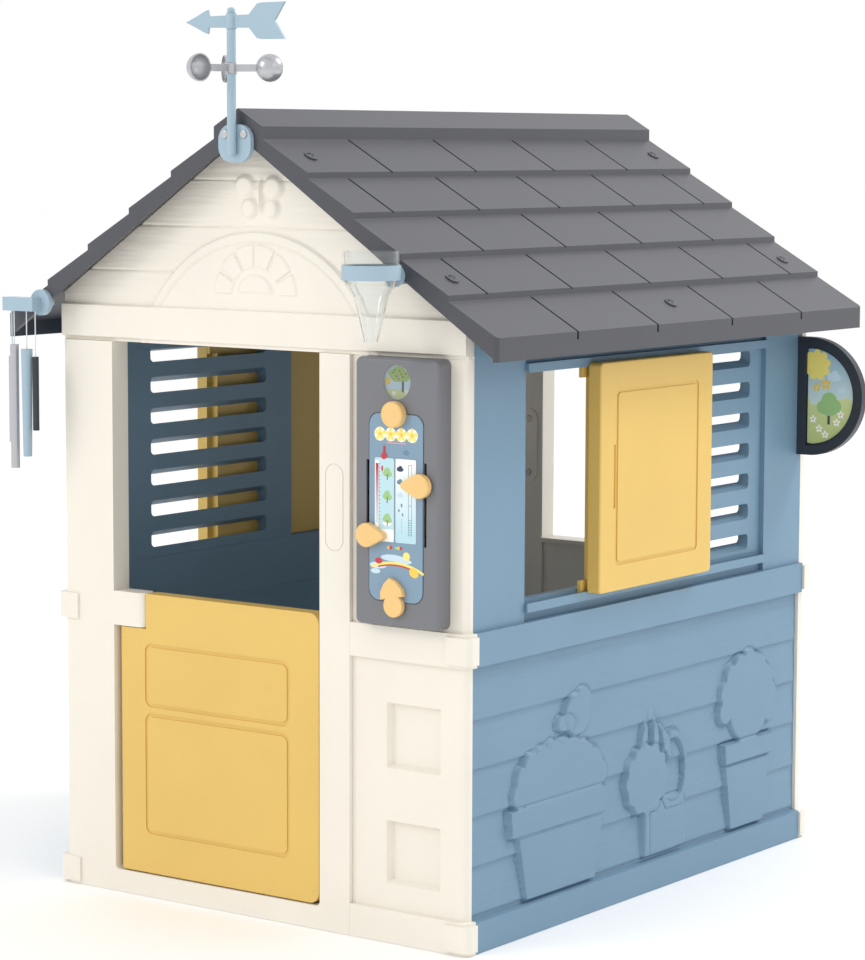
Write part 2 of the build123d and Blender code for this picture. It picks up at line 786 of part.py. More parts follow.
def station_housing():
    """Shell with a picture window, a shallow pocket for the board and two slots."""
    y0, y1 = station_face, -y_field - joint_gap
    w = station_wall
    shell = slab_y(station_left, station_right, station_low, station_high, station_corner, y0, y1)
    shell = fillet(shell.faces().sort_by(Axis.Y)[0].edges(), 6)
    shell = shell - slab_y(station_left + w, station_right - w, station_low + w, station_high - w,
                           station_corner - w, y0 + w, y1 + 1)
    for x, z in station_screw_points():
        boss = rod((x, y0 + w, z), (0, 1, 0), y1 - y0 - w, 6)
        shell = shell + boss - rod((x, y1 + 1, z), (0, -1, 0), 20, screw_shank + screw_clearance)
    cx = station_x
    g = board_gap
    shell = shell - slab_y(cx - board_half - g, cx + board_half + g, board_low - g, board_high + g,
                           board_corner, y0 - 1, y0 + board_pocket)
    shell = shell - rod((cx, y0 - 1, lens_centre), (0, 1, 0), w + 2, lens_radius)
    for side in (-1, 1):
        x = cx + side * slot_offset
        shell = shell - slab_y(x - slot_width / 2, x + slot_width / 2, slot_low, slot_high, 2,
                               y0 - 1, y0 + w + 1)
    for z in (board_high, pointer_height):
        shell = shell - rod((cx, y0 - 2, z), (0, 1, 0), w + 4, axle_radius + axle_clearance)
    return shell


def station_board():
    """Printed board in the housing's pocket, notched for the dial's axle and the slots."""
    y0 = station_face + board_pocket - board_thick
    board = slab_y(station_x - board_half, station_x + board_half, board_low, board_high,
                   board_corner - joint_gap, y0, y0 + board_thick)
    board = board - rod((station_x, y0 - 1, board_high), (0, 1, 0), board_thick + 2,
                        axle_radius + 1)
    for side in (-1, 1):
        x = station_x + side * slot_offset
        board = board - block(x - slot_width / 2 - 1, x + slot_width / 2 + 1, y0 - 1,
                              y0 + board_thick + 1, slot_low, slot_high)
    return board


def card(x0, x1):
    """Printed card on the board."""
    y1 = station_face + board_pocket - board_thick
    return slab_y(x0, x1, card_low, card_high, 3, y1 - card_thick, y1)


def lens():
    """Clear window with a flange behind the housing's face."""
    y0 = station_face + 0.6
    glass = rod((station_x, y0, lens_centre), (0, 1, 0), station_wall - 0.6, lens_radius - 0.1)
    return glass + rod((station_x, station_face + station_wall, lens_centre), (0, 1, 0), 1.0,
                       lens_radius + 1.5)


def season_disc():
    """Picture disc behind the window, on the dial's axle."""
    y0 = station_face + station_wall + 2.0
    disc = rod((station_x, y0, board_high), (0, 1, 0), disc_thick, disc_radius)
    axle = rod((station_x, station_face - knob_gap - 4, board_high), (0, 1, 0),
               station_wall + knob_gap + 6, axle_radius)
    return disc + axle


def season_knob():
    """Round turning knob, bored for the axle's square-cut end."""
    y1 = station_face + board_pocket - board_thick - knob_gap
    knob = rod((station_x, y1, board_high), (0, -1, 0), knob_thick, knob_radius + 1.5)
    rim = knob.faces().sort_by(Axis.Y)[0].edges()
    knob = fillet(rim, 4)
    bore = rod((station_x, y1 + 1, board_high), (0, -1, 0), 12, axle_radius)
    return knob - bore


def teardrop(x, z, direction, y0, thick):
    """A drop-shaped plate: a circle drawn out to a tip."""
    circle = rod((x, y0, z), (0, 1, 0), thick, knob_radius)
    run = knob_reach - knob_tip
    lean = math.acos((knob_radius - knob_tip) / run)
    side, rise = math.cos(lean), math.sin(lean)
    tip = x + direction * run
    wedge = prism_y([(x + direction * knob_radius * side, z + knob_radius * rise),
                     (x + direction * knob_radius * side, z - knob_radius * rise),
                     (tip + direction * knob_tip * side, z - knob_tip * rise),
                     (tip + direction * knob_tip * side, z + knob_tip * rise)], y0, y0 + thick)
    wedge = wedge + rod((tip, y0, z), (0, 1, 0), thick, knob_tip)
    return circle + wedge


def slider(side, z):
    """Drop-shaped knob, stem through the slot and retaining plate behind the housing's face."""
    slot_x = station_x + side * slot_offset
    front = station_face + board_pocket - board_thick - card_thick - knob_gap
    knob = teardrop(station_x + side * 49, z, -side, front - knob_thick + 2, knob_thick - 2)
    edges = knob.faces().sort_by(Axis.Y)[0].edges()
    knob = fillet(edges, 2.5)
    half = slot_width / 2 - slot_clearance
    stem = block(slot_x - half, slot_x + half, front - 3, station_face + station_wall + 2,
                 z - 5, z + 5)
    plate = block(slot_x - 7, slot_x + 7, station_face + station_wall + 0.6,
                  station_face + station_wall + 3.6, z - 12, z + 12)
    return knob + stem + plate


def weather_pointer():
    """Turning pointer with an arrow head, and its pin."""
    front = station_face + board_pocket - board_thick - knob_gap
    thick = 8.0
    cx, cz = station_x, pointer_height
    body = rod((cx, front - thick, cz), (0, 1, 0), thick, knob_radius - 1)
    outline = [(cx - 12.5, cz + 12), (cx - 22, cz + 12), (cx - 20, cz + 24), (cx - 11, cz + 36),
               (cx, cz + 43), (cx + 11, cz + 36), (cx + 20, cz + 24), (cx + 22, cz + 12),
               (cx + 12.5, cz + 12), (cx + 12.5, cz), (cx - 12.5, cz)]
    body = body + prism_y(outline, front - thick, front)
    body = fillet(body.faces().sort_by(Axis.Y)[0].edges(), 2.0)
    body = body + rod((cx, front - 2, cz), (0, 1, 0), station_face + station_wall + 4 - front,
                      axle_radius)
    return body.rotate(Axis((cx, 0, cz), (0, 1, 0)), -pointer_tilt)


def pointer_washer():
    """Push-on ring that keeps the pointer's pin in the housing."""
    y0 = station_face + station_wall + 0.4
    ring = rod((station_x, y0, pointer_height), (0, 1, 0), 1.5, 8)
    return ring - rod((station_x, y0 - 1, pointer_height), (0, 1, 0), 4, axle_radius)


# ---------------------------------------------------------------- weather vane
def vane_bracket():
    """Back plate on the gable's peak with the pole that carries the spindle."""
    y0 = vane_face_y
    plate = slab_y(-vane_plate_half, vane_plate_half, vane_plate_low, vane_plate_high, 24,
                   y0, y0 + vane_plate_thick)
    pole = rod((0, spindle_y, vane_plate_low + 12), (0, 0, 1), pole_top - vane_plate_low - 12,
               pole_radius)
    web = block(-3, 3, spindle_y, y0 + 2, vane_plate_low + 14, vane_plate_high - 4)
    bracket = plate + pole + web
    bracket = bracket - rod((0, spindle_y, pole_top - 30), (0, 0, 1), 31, spindle_radius)
    for x, z in vane_screw_points():
        bracket = bracket - rod((x, y0 - 8, z), (0, 1, 0), 30, screw_shank + screw_clearance)
    return bracket


def vane_screw_points():
    z = vane_plate_high - 15.0
    return [(-18.5, z), (18.5, z)]


def spindle():
    """Straight spindle for the cups and the arrow."""
    top = vane_low + vane_height + cap_height - 2
    return rod((0, spindle_y, pole_top - 30), (0, 0, 1), top - pole_top + 30, spindle_radius)


def tube(z0, z1, outer, inner):
    """Upright tube on the spindle."""
    wall = rod((0, spindle_y, z0), (0, 0, 1), z1 - z0, outer)
    return wall - rod((0, spindle_y, z0 - 1), (0, 0, 1), z1 - z0 + 2, inner)


def rotor():
    """Anemometer: a hub with three arms and three half-ball cups."""
    z0 = pole_top + hub_gap
    middle = z0 + rotor_height / 2
    hub = tube(z0, z0 + rotor_height, pole_radius + 1, spindle_radius + axle_clearance)
    for k in range(3):
        hub = hub + rotor_arm(rotor_angle + 120 * k, middle)
    return hub


def rotor_arm(azimuth, z):
    """One arm and its cup; the cup's mouth looks the way the rotor turns."""
    inner = pole_radius - 0.5
    outer = arm_length - cup_radius + 1.2
    arm = block(inner, outer, -1.5, 1.5, z - 5.5, z + 5.5)
    ball = Pos(arm_length, 0, z) * (Sphere(cup_radius) - Sphere(cup_radius - cup_wall))
    half = ball & block(0, 2 * arm_length, -cup_radius - 1, 0, z - 30, z + 30)
    piece = arm + half
    return Pos(0, spindle_y, 0) * Rot(0, 0, azimuth) * piece


def vane_arrow():
    """Flat arrow on a turning hub."""
    z0 = vane_low
    mid = z0 + vane_height / 2 - 1
    hub = tube(z0, z0 + vane_height, pole_radius + 1.2, spindle_radius + axle_clearance)
    head = 18.3
    tail = 27.5
    outline = [(-arrow_tip, 0), (-67, 9), (-52, 16), (-45, head), (-43.5, 8.7), (0, 9.5),
               (36, 10), (52, 26), (60, tail), (arrow_tail, tail + 0.5), (86, 0),
               (arrow_tail, -tail - 0.5), (60, -tail), (52, -26), (36, -10), (0, -9.5),
               (-43.5, -8.7), (-45, -head), (-52, -16), (-67, -9)]
    y = spindle_y
    blade = prism_y([(x, mid + h) for x, h in outline], y - arrow_thick / 2, y + arrow_thick / 2)
    blade = blade - rod((0, y, z0 - 20), (0, 0, 1), vane_height + 40, pole_radius)
    return hub + blade


def spindle_cap():
    """Domed cap pressed on the spindle's end."""
    z0 = vane_low + vane_height + hub_gap
    cap = rod((0, spindle_y, z0), (0, 0, 1), cap_height, pole_radius - 1)
    cap = fillet(cap.faces().sort_by(Axis.Z)[-1].edges(), 4)
    return cap - rod((0, spindle_y, z0 - 1), (0, 0, 1), cap_height - 1.4, spindle_radius)


# ---------------------------------------------------------------- roof clamps
def rim_clamp(x, z, side, radius):
    """Round boss on the roof rim with a jaw that hooks round the rim's lower edge."""
    boss = rod((x, clamp_y, z), (0, 1, 0), clamp_thick, radius)
    foot = rim_bottom(abs(x)) - jaw_gap - 1.0
    slope = -side * roof_fall
    half = 12.0
    y_back = roof_rim_y + rim_thick + jaw_gap
    low = [(x - half, foot - slope * half), (x + half, foot + slope * half),
           (x + half, foot + slope * half - jaw_thick), (x - half, foot - slope * half - jaw_thick)]
    shelf = prism_y(low, clamp_y, y_back + jaw_thick)
    rise = 14.0
    hook = [(x - half, foot - slope * half - jaw_thick), (x + half, foot + slope * half - jaw_thick),
            (x + half, foot + slope * half + rise), (x - half, foot - slope * half + rise)]
    finger = prism_y(hook, y_back, y_back + jaw_thick)
    web_top = max(z, foot + abs(slope) * half)
    web = [(x - half, min(foot - slope * half, z) - jaw_thick + 1),
           (x + half, min(foot + slope * half, z) - jaw_thick + 1), (x + half, web_top),
           (x - half, web_top)]
    return boss + shelf + finger + prism_y(web, clamp_y, clamp_y + clamp_thick)


def gauge_clamp():
    """Ring for the rain gauge, on its roof clamp."""
    y = gauge_y()
    ring = rod((gauge_x, y, gauge_ring_low), (0, 0, 1), gauge_ring_high - gauge_ring_low,
               gauge_ring_radius)
    bore = rod((gauge_x, y, gauge_ring_low - 1), (0, 0, 1), 60,
               gauge_ring_radius - gauge_ring_wall)
    clamp = rim_clamp(gauge_clamp_x, gauge_clamp_z, 1, gauge_clamp_radius)
    arm = block(gauge_clamp_x - 12, gauge_clamp_x + 12, y + 20, clamp_y + 2, gauge_ring_low,
                gauge_ring_high - 4)
    return ring + arm + clamp - bore


gauge_clamp_x = gauge_x + 8.0
gauge_clamp_z = gauge_ring_low + 5.0
gauge_clamp_radius = 17.0


def gauge_y():
    """The ring just clears the clamp's boss."""
    return clamp_y - gauge_ring_radius + 2


def gauge_cup():
    """Clear funnel-shaped measuring cup with a bead that rests on the ring."""
    r = gauge_ring_radius - gauge_ring_wall - gauge_clearance
    bead = gauge_ring_high + 0.1
    w = gauge_wall
    outer = [(0, gauge_foot), (10.5, gauge_foot), (r - 15.4, gauge_waist), (r - 5.9, gauge_waist + 17),
             (r, gauge_ring_low + 2), (r, bead), (r + 2.2, bead), (r + 2.2, bead + 2),
             (r, bead + 2), (r + 0.8, gauge_rim)]
    inner = [(r + 0.8 - w, gauge_rim), (r - w, bead + 2), (r - w, gauge_ring_low + 3),
             (r - 5.9 - w, gauge_waist + 19), (r - 15.4 - w, gauge_waist + 1), (10.5 - w, gauge_foot + w),
             (0, gauge_foot + w)]
    y = gauge_y()
    wire = Polyline(*[(gauge_x + a, y, b) for a, b in outer + inner], close=True)
    return revolve(make_face(wire), Axis((gauge_x, y, 0), (0, 0, 1)), 360)


# ---------------------------------------------------------------- chimes
chime_spots = ((bar_left + 20.5, 14.5), (bar_left + 6.5, 5.0), (bar_left + 45.5, 12.0),
               (bar_left + 61.5, 8.5))
chime_tops = (897.0, 877.0, 890.0, 878.0)
chime_bottoms = (695.0, 736.0, 715.0, 758.0)
chime_radii = ((7.2, 7.2), (6.0, 6.0), (9.4, 7.1), (5.3, 5.3))
chime_names = ("chime_tube_long", "chime_tube_short", "chime_tube_blue", "chime_tube_dark")
string_names = ("chime_string_long", "chime_string_short", "chime_string_blue",
                "chime_string_dark")


def chime_bar():
    """Bar that carries the chimes, on its roof clamp, drilled for the strings."""
    bar = block(bar_left, chime_disc_x + 2, clamp_y - bar_depth, clamp_y + 1, bar_low, bar_high)
    bar = bar + rim_clamp(chime_disc_x, chime_disc_z, -1, clamp_radius)
    for x, reach in chime_spots:
        bar = bar - rod((x, clamp_y - reach, bar_low - 1), (0, 0, 1), string_bite + 1,
                        string_radius + string_clearance)
    return bar


string_bite = 6.0
string_clearance = 0.6
string_top = 1.5
string_knot = 0.95


def chime_tube(k):
    """Hanging tube, closed at the top."""
    x, reach = chime_spots[k]
    y = clamp_y - reach
    top_r, low_r = chime_radii[k]
    height = chime_tops[k] - chime_bottoms[k]
    wall = 1.6
    outer = [(0, 0), (top_r, 0), (low_r, -height), (low_r - wall, -height), (top_r - wall, -3),
             (0, -3)]
    wire = Polyline(*[(x + a, y, chime_tops[k] + b) for a, b in outer], close=True)
    return revolve(make_face(wire), Axis((x, y, 0), (0, 0, 1)), 360)


def chime_string(k):
    """Straight string from the bar to the tube's lid, with the knot it swings from."""
    x, reach = chime_spots[k]
    low = chime_tops[k]
    line = rod((x, clamp_y - reach, low), (0, 0, 1), bar_low + string_top - low, string_radius)
    return line + rod((x - string_knot, clamp_y - reach, bar_low), (1, 0, 0), 2 * string_knot,
                      string_knot)


# ---------------------------------------------------------------- shop sign
def d_shape(radius, left, y0, y1):
    """A letter-D plate: a flat left-hand part and a half-round right-hand part."""
    cx = x_side + joint_gap + sign_flat
    disc = rod((cx, y0, sign_height), (0, 1, 0), y1 - y0, radius)
    disc = disc & block(cx, cx + 2 * radius, y0, y1, sign_height - radius - 1,
                        sign_height + radius + 1)
    return disc + block(left, cx, y0, y1, sign_height - radius, sign_height + radius)


def sign_frame():
    """D-shaped frame fixed to the right-hand wall, with a tray for the picture."""
    left = x_side + joint_gap
    body = d_shape(sign_radius, left, sign_y, sign_y + sign_thick)
    tray = d_shape(sign_radius - sign_border, left + sign_border, sign_y - 1, sign_y + 6)
    body = body - tray
    for z in sign_peg_heights:
        body = body + rod((left + 1, sign_y + sign_thick / 2, z), (-1, 0, 0), sign_peg_length,
                          sign_peg_radius)
    return body


sign_peg_heights = (735.0, 843.0)
sign_peg_radius = 4.0
sign_peg_length = 20.0


def sign_picture():
    """Printed plate in the frame's tray."""
    left = x_side + joint_gap + sign_border + 0.5
    return d_shape(sign_radius - sign_border - 0.5, left, sign_y + 4.0, sign_y + 5.9)


# ---------------------------------------------------------------- fasteners
def screw(point, direction, length):
    """Pan-head screw; the point is under the head and the shank runs along the direction."""
    back = tuple(-d for d in direction)
    head = rod(point, back, screw_head_thick, screw_head)
    head = fillet(head.faces().sort_by(Axis(point, back))[-1].edges(), 1.5)
    return head + rod(point, direction, length, screw_shank)


def corner_screws():
    """Two screws in each of the four corners, from inside through the lugs."""
    screws = []
    for sx in (-1, 1):
        for sy in (-1, 1):
            for z in lug_heights:
                x = sx * (x_tongue - lug_thick)
                y = sy * (y_in - lug_reach / 2)
                screws.append(screw((x, y, z), (sx, 0, 0), screw_length))
    return screws


def joint_plate():
    """Stadium-shaped plate that bridges the seam between door frame and side panel."""
    half = (plate_right - plate_left) / 2
    plate = slab_y(plate_left, plate_right, plate_low, plate_high, half - 0.01,
                   -y_in, -y_in + plate_thick)
    for x, y, z in plate_screw_points(-y_in):
        plate = plate - rod((x, y - 1, z), (0, 1, 0), plate_thick + 2,
                            screw_shank + screw_clearance)
    return plate


def main():
    os.makedirs("parts", exist_ok=True)
    save("front_door_frame", front_door_frame())
    save("front_side_panel", side_panel(True))
    save("front_gable", gable())
    save("back_window_frame", turned(door_frame() - plate_screw_holes()))
    save("back_lower_panel", back_lower_panel())
    save("back_side_panel", turned(side_panel(False)))
    save("back_gable", turned(gable()))
    for side, place in (("right", lambda s: s), ("left", turned)):
        save(side + "_lower_panel", place(lower_panel()))
        wall = window_frame()
        if side == "right":
            for z in sign_peg_heights:
                wall = wall - rod((x_side + 1, sign_y + sign_thick / 2, z), (-1, 0, 0),
                                  sign_peg_length + 2, sign_peg_radius + screw_clearance)
        save(side + "_window_frame", place(wall))
        save(side + "_louvres", place(louvres()))
        save(side + "_shutter", place(shutter()))
        save("roof_panel_" + side, place(roof_panel()))
    clips = [roof_clip(x, y) for x, y in clip_points()]
    save("roof_clips", *(clips + [turned(c) for c in clips]))
    save("corner_screws", *corner_screws())
    save("joint_plates", joint_plate(), turned(joint_plate()))
    plate_screws = [screw(p, (0, -1, 0), screw_length - plate_thick)
                    for p in plate_screw_points(-y_in + plate_thick)]
    save("joint_screws", *(plate_screws + [turned(s) for s in plate_screws]))
    save("door_panel", door_panel())
    save("door_pins", *door_pins())
    save("sign_frame", sign_frame())
    save("sign_picture", sign_picture())
    save("station_housing", station_housing())
    save("station_board", station_board())
    save("thermometer_card", card(station_x - 39, station_x - 3))
    save("rain_card", card(station_x, station_x + 38))
    save("station_lens", lens())
    save("season_disc", season_disc())
    save("season_knob", season_knob())
    save("temperature_slider", slider(-1, temperature_height))
    save("rain_slider", slider(1, rain_height))
    save("weather_pointer", weather_pointer())
    save("pointer_washer", pointer_washer())
    save("station_screws", *[screw((x, -y_in, z), (0, -1, 0), front_thick + 17)
                             for x, z in station_screw_points()])
    save("vane_bracket", vane_bracket())
    save("vane_screws", *[screw((x, vane_face_y, z), (0, 1, 0), vane_plate_thick + 6)
                          for x, z in vane_screw_points()])
    save("vane_spindle", spindle())
    save("anemometer_rotor", rotor())
    z0 = pole_top + rotor_height + 2 * hub_gap
    save("spindle_spacer", tube(z0, vane_low - hub_gap, pole_radius, spindle_radius))
    save("vane_arrow", vane_arrow())
    save("spindle_cap", spindle_cap())
    save("gauge_clamp", gauge_clamp())
    save("gauge_cup", gauge_cup())
    save("chime_bar", chime_bar())
    for k in range(4):
        save(chime_names[k], chime_tube(k))
        save(string_names[k], chime_string(k))


main()
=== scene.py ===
"""Plastic playhouse with a tiled roof, a half door, sliding shutters and clip-on weather toys.

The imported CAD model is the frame. Mouldings whose shape is right keep their CAD mesh and get
softened edges. The boarded side walls and the gables are rebuilt here with their relief, the
chime strings are drawn as cords, and the pictures and scales are thin shapes of ink.
"""

import math

import bmesh
import bpy
import numpy as np
from mathutils import Matrix, Vector


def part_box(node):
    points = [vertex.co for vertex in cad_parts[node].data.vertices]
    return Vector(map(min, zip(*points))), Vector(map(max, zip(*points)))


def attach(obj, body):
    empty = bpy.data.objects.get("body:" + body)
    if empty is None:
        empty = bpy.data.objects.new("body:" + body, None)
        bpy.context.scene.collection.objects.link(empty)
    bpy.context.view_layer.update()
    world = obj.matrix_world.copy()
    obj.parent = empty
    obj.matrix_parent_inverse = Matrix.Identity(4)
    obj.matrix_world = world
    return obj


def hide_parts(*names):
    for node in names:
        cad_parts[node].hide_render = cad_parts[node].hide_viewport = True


MM = 0.001

# Wall planes and levels, in millimetres, as the mouldings have them.
SIDE_FIELD = 405.0
SIDE_BELT = 413.0
SIDE_INNER = 377.0
SIDE_END = 497.2
FRONT_FIELD = 511.5
FRONT_FRAME = 519.5
FRONT_SKIN = 497.5
FRONT_INNER = 481.5
BOARD_LINES = (58.0, 133.0, 210.0, 283.0, 358.0)
BASE_TOP = 51.0
PANEL_TOP = 441.0
LINTEL_LOW = 909.5
LINTEL_HIGH = 965.6
PLANK_LINES = (1021.0, 1094.0, 1167.0)
BOARD_END = 486.0
BOARD_LEAN = 5.0
ARCH_Z = 838.0
ARCH_RADIUS = 250.0
SUN_Z = 985.0
ROOF_FALL = 59.32 / 88.0
GRID_ACROSS = 2.4
GRID_UP = 1.5


# ---------------------------------------------------------------- colour and nodes
def linear(code):
    """A colour written as sRGB hex, as linear RGBA."""
    parts = [int(code[i:i + 2], 16) / 255 for i in (1, 3, 5)]
    curve = [c / 12.92 if c <= 0.04045 else ((c + 0.055) / 1.055) ** 2.4 for c in parts]
    return (*curve, 1.0)


def add(tree, kind, inputs=None, **settings):
    """One node with its settings; an input is a value or another node's output."""
    node = tree.nodes.new(kind)
    for name, value in settings.items():
        setattr(node, name, value)
    for key, value in (inputs or {}).items():
        if isinstance(value, bpy.types.NodeSocket):
            tree.links.new(value, node.inputs[key])
        else:
            node.inputs[key].default_value = value
    return node


def new_material(name, **sockets):
    """A material with one shader, whose constant sockets are set directly."""
    made = bpy.data.materials.new(name)
    made.use_nodes = True
    tree = made.node_tree
    tree.nodes.clear()
    shader = add(tree, "ShaderNodeBsdfPrincipled",
                 {key.replace("_", " "): value for key, value in sockets.items()})
    add(tree, "ShaderNodeOutputMaterial", {"Surface": shader.outputs["BSDF"]})
    return made, tree, shader


def per_metre(spacing_mm):
    """Texture scale that repeats about every so many millimetres."""
    return 1.0 / (spacing_mm * MM)


def moulded(name, code, roughness, mottle=0.05, skin_mm=2.2, skin_depth_mm=0.05, specular=0.5):
    """Moulded plastic: even colour with a faint cloudiness and the fine spark-eroded skin of
    the tool, which breaks up highlights. The skin is drawn coarser than the real half
    millimetre so that it shows."""
    made, tree, shader = new_material(name, Roughness=roughness, IOR=1.5,
                                      Specular_IOR_Level=specular)
    where = add(tree, "ShaderNodeTexCoord")
    cloud = add(tree, "ShaderNodeTexNoise", {"Vector": where.outputs["Object"],
                                             "Scale": per_metre(140), "Detail": 3.0})
    base = linear(code)
    dark = tuple(c * (1 - mottle) for c in base[:3]) + (1.0,)
    light = tuple(min(1.0, c * (1 + mottle)) for c in base[:3]) + (1.0,)
    tint = add(tree, "ShaderNodeMix", {"Factor": cloud.outputs["Fac"], 6: dark, 7: light},
               data_type="RGBA")
    tree.links.new(tint.outputs[2], shader.inputs["Base Color"])
    skin = add(tree, "ShaderNodeTexNoise", {"Vector": where.outputs["Object"],
                                            "Scale": per_metre(skin_mm), "Detail": 2.0})
    bump = add(tree, "ShaderNodeBump", {"Height": skin.outputs["Fac"], "Strength": 0.5,
                                        "Distance": skin_depth_mm * MM})
    tree.links.new(bump.outputs["Normal"], shader.inputs["Normal"])
    return made


def boarded(name, code, roughness, along):
    """The same moulded plastic, cast against a tool with a sawn-timber grain: long streaks a
    few millimetres apart that run along the boards."""
    made = moulded(name, code, roughness)
    tree = made.node_tree
    shader = next(n for n in tree.nodes if n.type == "BSDF_PRINCIPLED")
    first = next(n for n in tree.nodes if n.type == "BUMP")
    where = add(tree, "ShaderNodeTexCoord")
    across = per_metre(7)
    stretch = [across, across, across]
    stretch["XYZ".index(along)] = per_metre(150)
    place = add(tree, "ShaderNodeMapping", {"Vector": where.outputs["Object"],
                                            "Scale": tuple(stretch)})
    grain = add(tree, "ShaderNodeTexNoise", {"Vector": place.outputs["Vector"], "Scale": 1.0,
                                             "Detail": 4.0, "Distortion": 0.6})
    bump = add(tree, "ShaderNodeBump", {"Height": grain.outputs["Fac"], "Strength": 0.6,
                                        "Distance": 0.5 * MM, "Normal": first.outputs["Normal"]})
    tree.links.new(bump.outputs["Normal"], shader.inputs["Normal"])
    return made


def clear_moulding(name):
    """Clear injection-moulded polystyrene: colourless, glossy, thin-walled."""
    made, tree, shader = new_material(name, Roughness=0.04, IOR=1.45, Transmission_Weight=1.0,
                                      Base_Color=linear("#F7FAFB"))
    where = add(tree, "ShaderNodeTexCoord")
    ripple = add(tree, "ShaderNodeTexNoise", {"Vector": where.outputs["Object"],
                                              "Scale": per_metre(25), "Detail": 1.0})
    bump = add(tree, "ShaderNodeBump", {"Height": ripple.outputs["Fac"], "Strength": 0.2,
                                        "Distance": 0.2 * MM})
    tree.links.new(bump.outputs["Normal"], shader.inputs["Normal"])
    return made


def metallised(name, code, roughness, metallic):
    """Plastic moulded with aluminium flake, or plain steel: grey with a broad soft glint."""
    made, tree, shader = new_material(name, Roughness=roughness, Metallic=metallic,
                                      Base_Color=linear(code))
    where = add(tree, "ShaderNodeTexCoord")
    flake = add(tree, "ShaderNodeTexNoise", {"Vector": where.outputs["Object"],
                                             "Scale": per_metre(1.2), "Detail": 1.0})
    bump = add(tree, "ShaderNodeBump", {"Height": flake.outputs["Fac"], "Strength": 0.25,
                                        "Distance": 0.03 * MM})
    tree.links.new(bump.outputs["Normal"], shader.inputs["Normal"])
    return made


def printed(name, code, second=None, low=0.0, high=1.0):
    """Ink on a glossy label; with a second colour it fades from one to the other upwards."""
    made, tree, shader = new_material(name, Roughness=0.32, IOR=1.5)
    where = add(tree, "ShaderNodeTexCoord")
    if second:
        split = add(tree, "ShaderNodeSeparateXYZ", {"Vector": where.outputs["Object"]})
        fade = add(tree, "ShaderNodeMapRange", {"Value": split.outputs["Z"],
                                                "From Min": low * MM, "From Max": high * MM})
        factor = fade.outputs["Result"]
    else:
        dots = add(tree, "ShaderNodeTexNoise", {"Vector": where.outputs["Object"],
                                                "Scale": per_metre(4), "Detail": 1.0})
        factor = dots.outputs["Fac"]
        second = code
    top = tuple(c * 0.97 for c in linear(second)[:3]) + (1.0,)
    tint = add(tree, "ShaderNodeMix", {"Factor": factor, 6: linear(code), 7: top},
               data_type="RGBA")
    tree.links.new(tint.outputs[2], shader.inputs["Base Color"])
    return made


def materials():
    """Every finish of the house, by what it is used for."""
    return {
        "cream": moulded("polyethylene_cream_moulded", "#E8E2D6", 0.5),
        "cream_boards": boarded("polyethylene_cream_board_grain", "#E8E2D6", 0.5, "X"),
        "blue": moulded("polyethylene_blue_moulded", "#6F8EA5", 0.48),
        "blue_boards": boarded("polyethylene_blue_board_grain", "#6E8DA4", 0.5, "Y"),
        "roof": moulded("polyethylene_slate_grey_moulded", "#46474D", 0.38, 0.06, 1.8, 0.12),
        "yellow": moulded("polyethylene_yellow_moulded", "#DCB862", 0.45),
        "grey": moulded("polypropylene_grey_moulded", "#737479", 0.45, 0.03),
        "dark": moulded("polypropylene_black_blue_moulded", "#2B313A", 0.4, 0.03),
        "sky": moulded("polypropylene_light_blue_gloss", "#9CB3C1", 0.35, 0.02, 3.0, 0.02),
        "knob": moulded("polypropylene_yellow_gloss", "#E8C07C", 0.38, 0.02, 3.0, 0.02),
        "flake": metallised("plastic_aluminium_flake", "#B9BABD", 0.32, 0.75),
        "steel": metallised("steel_screw_zinc_plated", "#C4C4C4", 0.3, 1.0),
        "clear": clear_moulding("polystyrene_clear"),
        "ink_sky": printed("ink_light_turquoise", "#B9DBE3"),
        "ink_rain": printed("ink_white_to_turquoise", "#B4D8E2", "#F4F8F8", 640.0, 745.0),
        "ink_white": printed("ink_white", "#F6F8F6"),
        "ink_heat": printed("ink_white_to_red", "#CFE0EA", "#B8202E", 655.0, 742.0),
        "ink_red": printed("ink_red", "#C8343A"),
        "ink_pink": printed("ink_pink", "#E39AA4"),
        "ink_yellow": printed("ink_yellow", "#F3E27A"),
        "ink_gold": printed("ink_gold", "#F0C94E"),
        "ink_leaf": printed("ink_leaf_green", "#9CC482"),
        "ink_tree": printed("ink_tree_green", "#A6BE62"),
        "ink_bark": printed("ink_bark", "#474C55"),
        "ink_navy": printed("ink_navy", "#2A3C50"),
        "ink_slate": printed("ink_slate_blue", "#66879D"),
        "ink_haze": printed("ink_haze_blue", "#C6DCE8"),
        "ink_board": printed("ink_board_blue", "#7E98AD"),
        "ink_meadow": printed("ink_meadow", "#B9C77E", "#D3DC9C", 705.0, 790.0),
        "ink_dusk": printed("ink_sky_fade", "#CFE2DE", "#8FB6CB", 770.0, 870.0),
        "cord": moulded("nylon_cord_white", "#D7DEE2", 0.6, 0.03, 1.0, 0.05),
    }


# ---------------------------------------------------------------- mesh helpers
def finish_mesh(name, bm, material, body, sharp_degrees=35):
    """Turns a bmesh into a piece that rides on a body."""
    bmesh.ops.recalc_face_normals(bm, faces=bm.faces)
    mesh = bpy.data.meshes.new(name)
    bm.to_mesh(mesh)
    bm.free()
    for face in mesh.polygons:
        face.use_smooth = True
    mesh.set_sharp_from_angle(angle=math.radians(sharp_degrees))
    mesh.materials.append(material)
    obj = bpy.data.objects.new(name, mesh)
    bpy.context.scene.collection.objects.link(obj)
    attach(obj, body)
    return obj


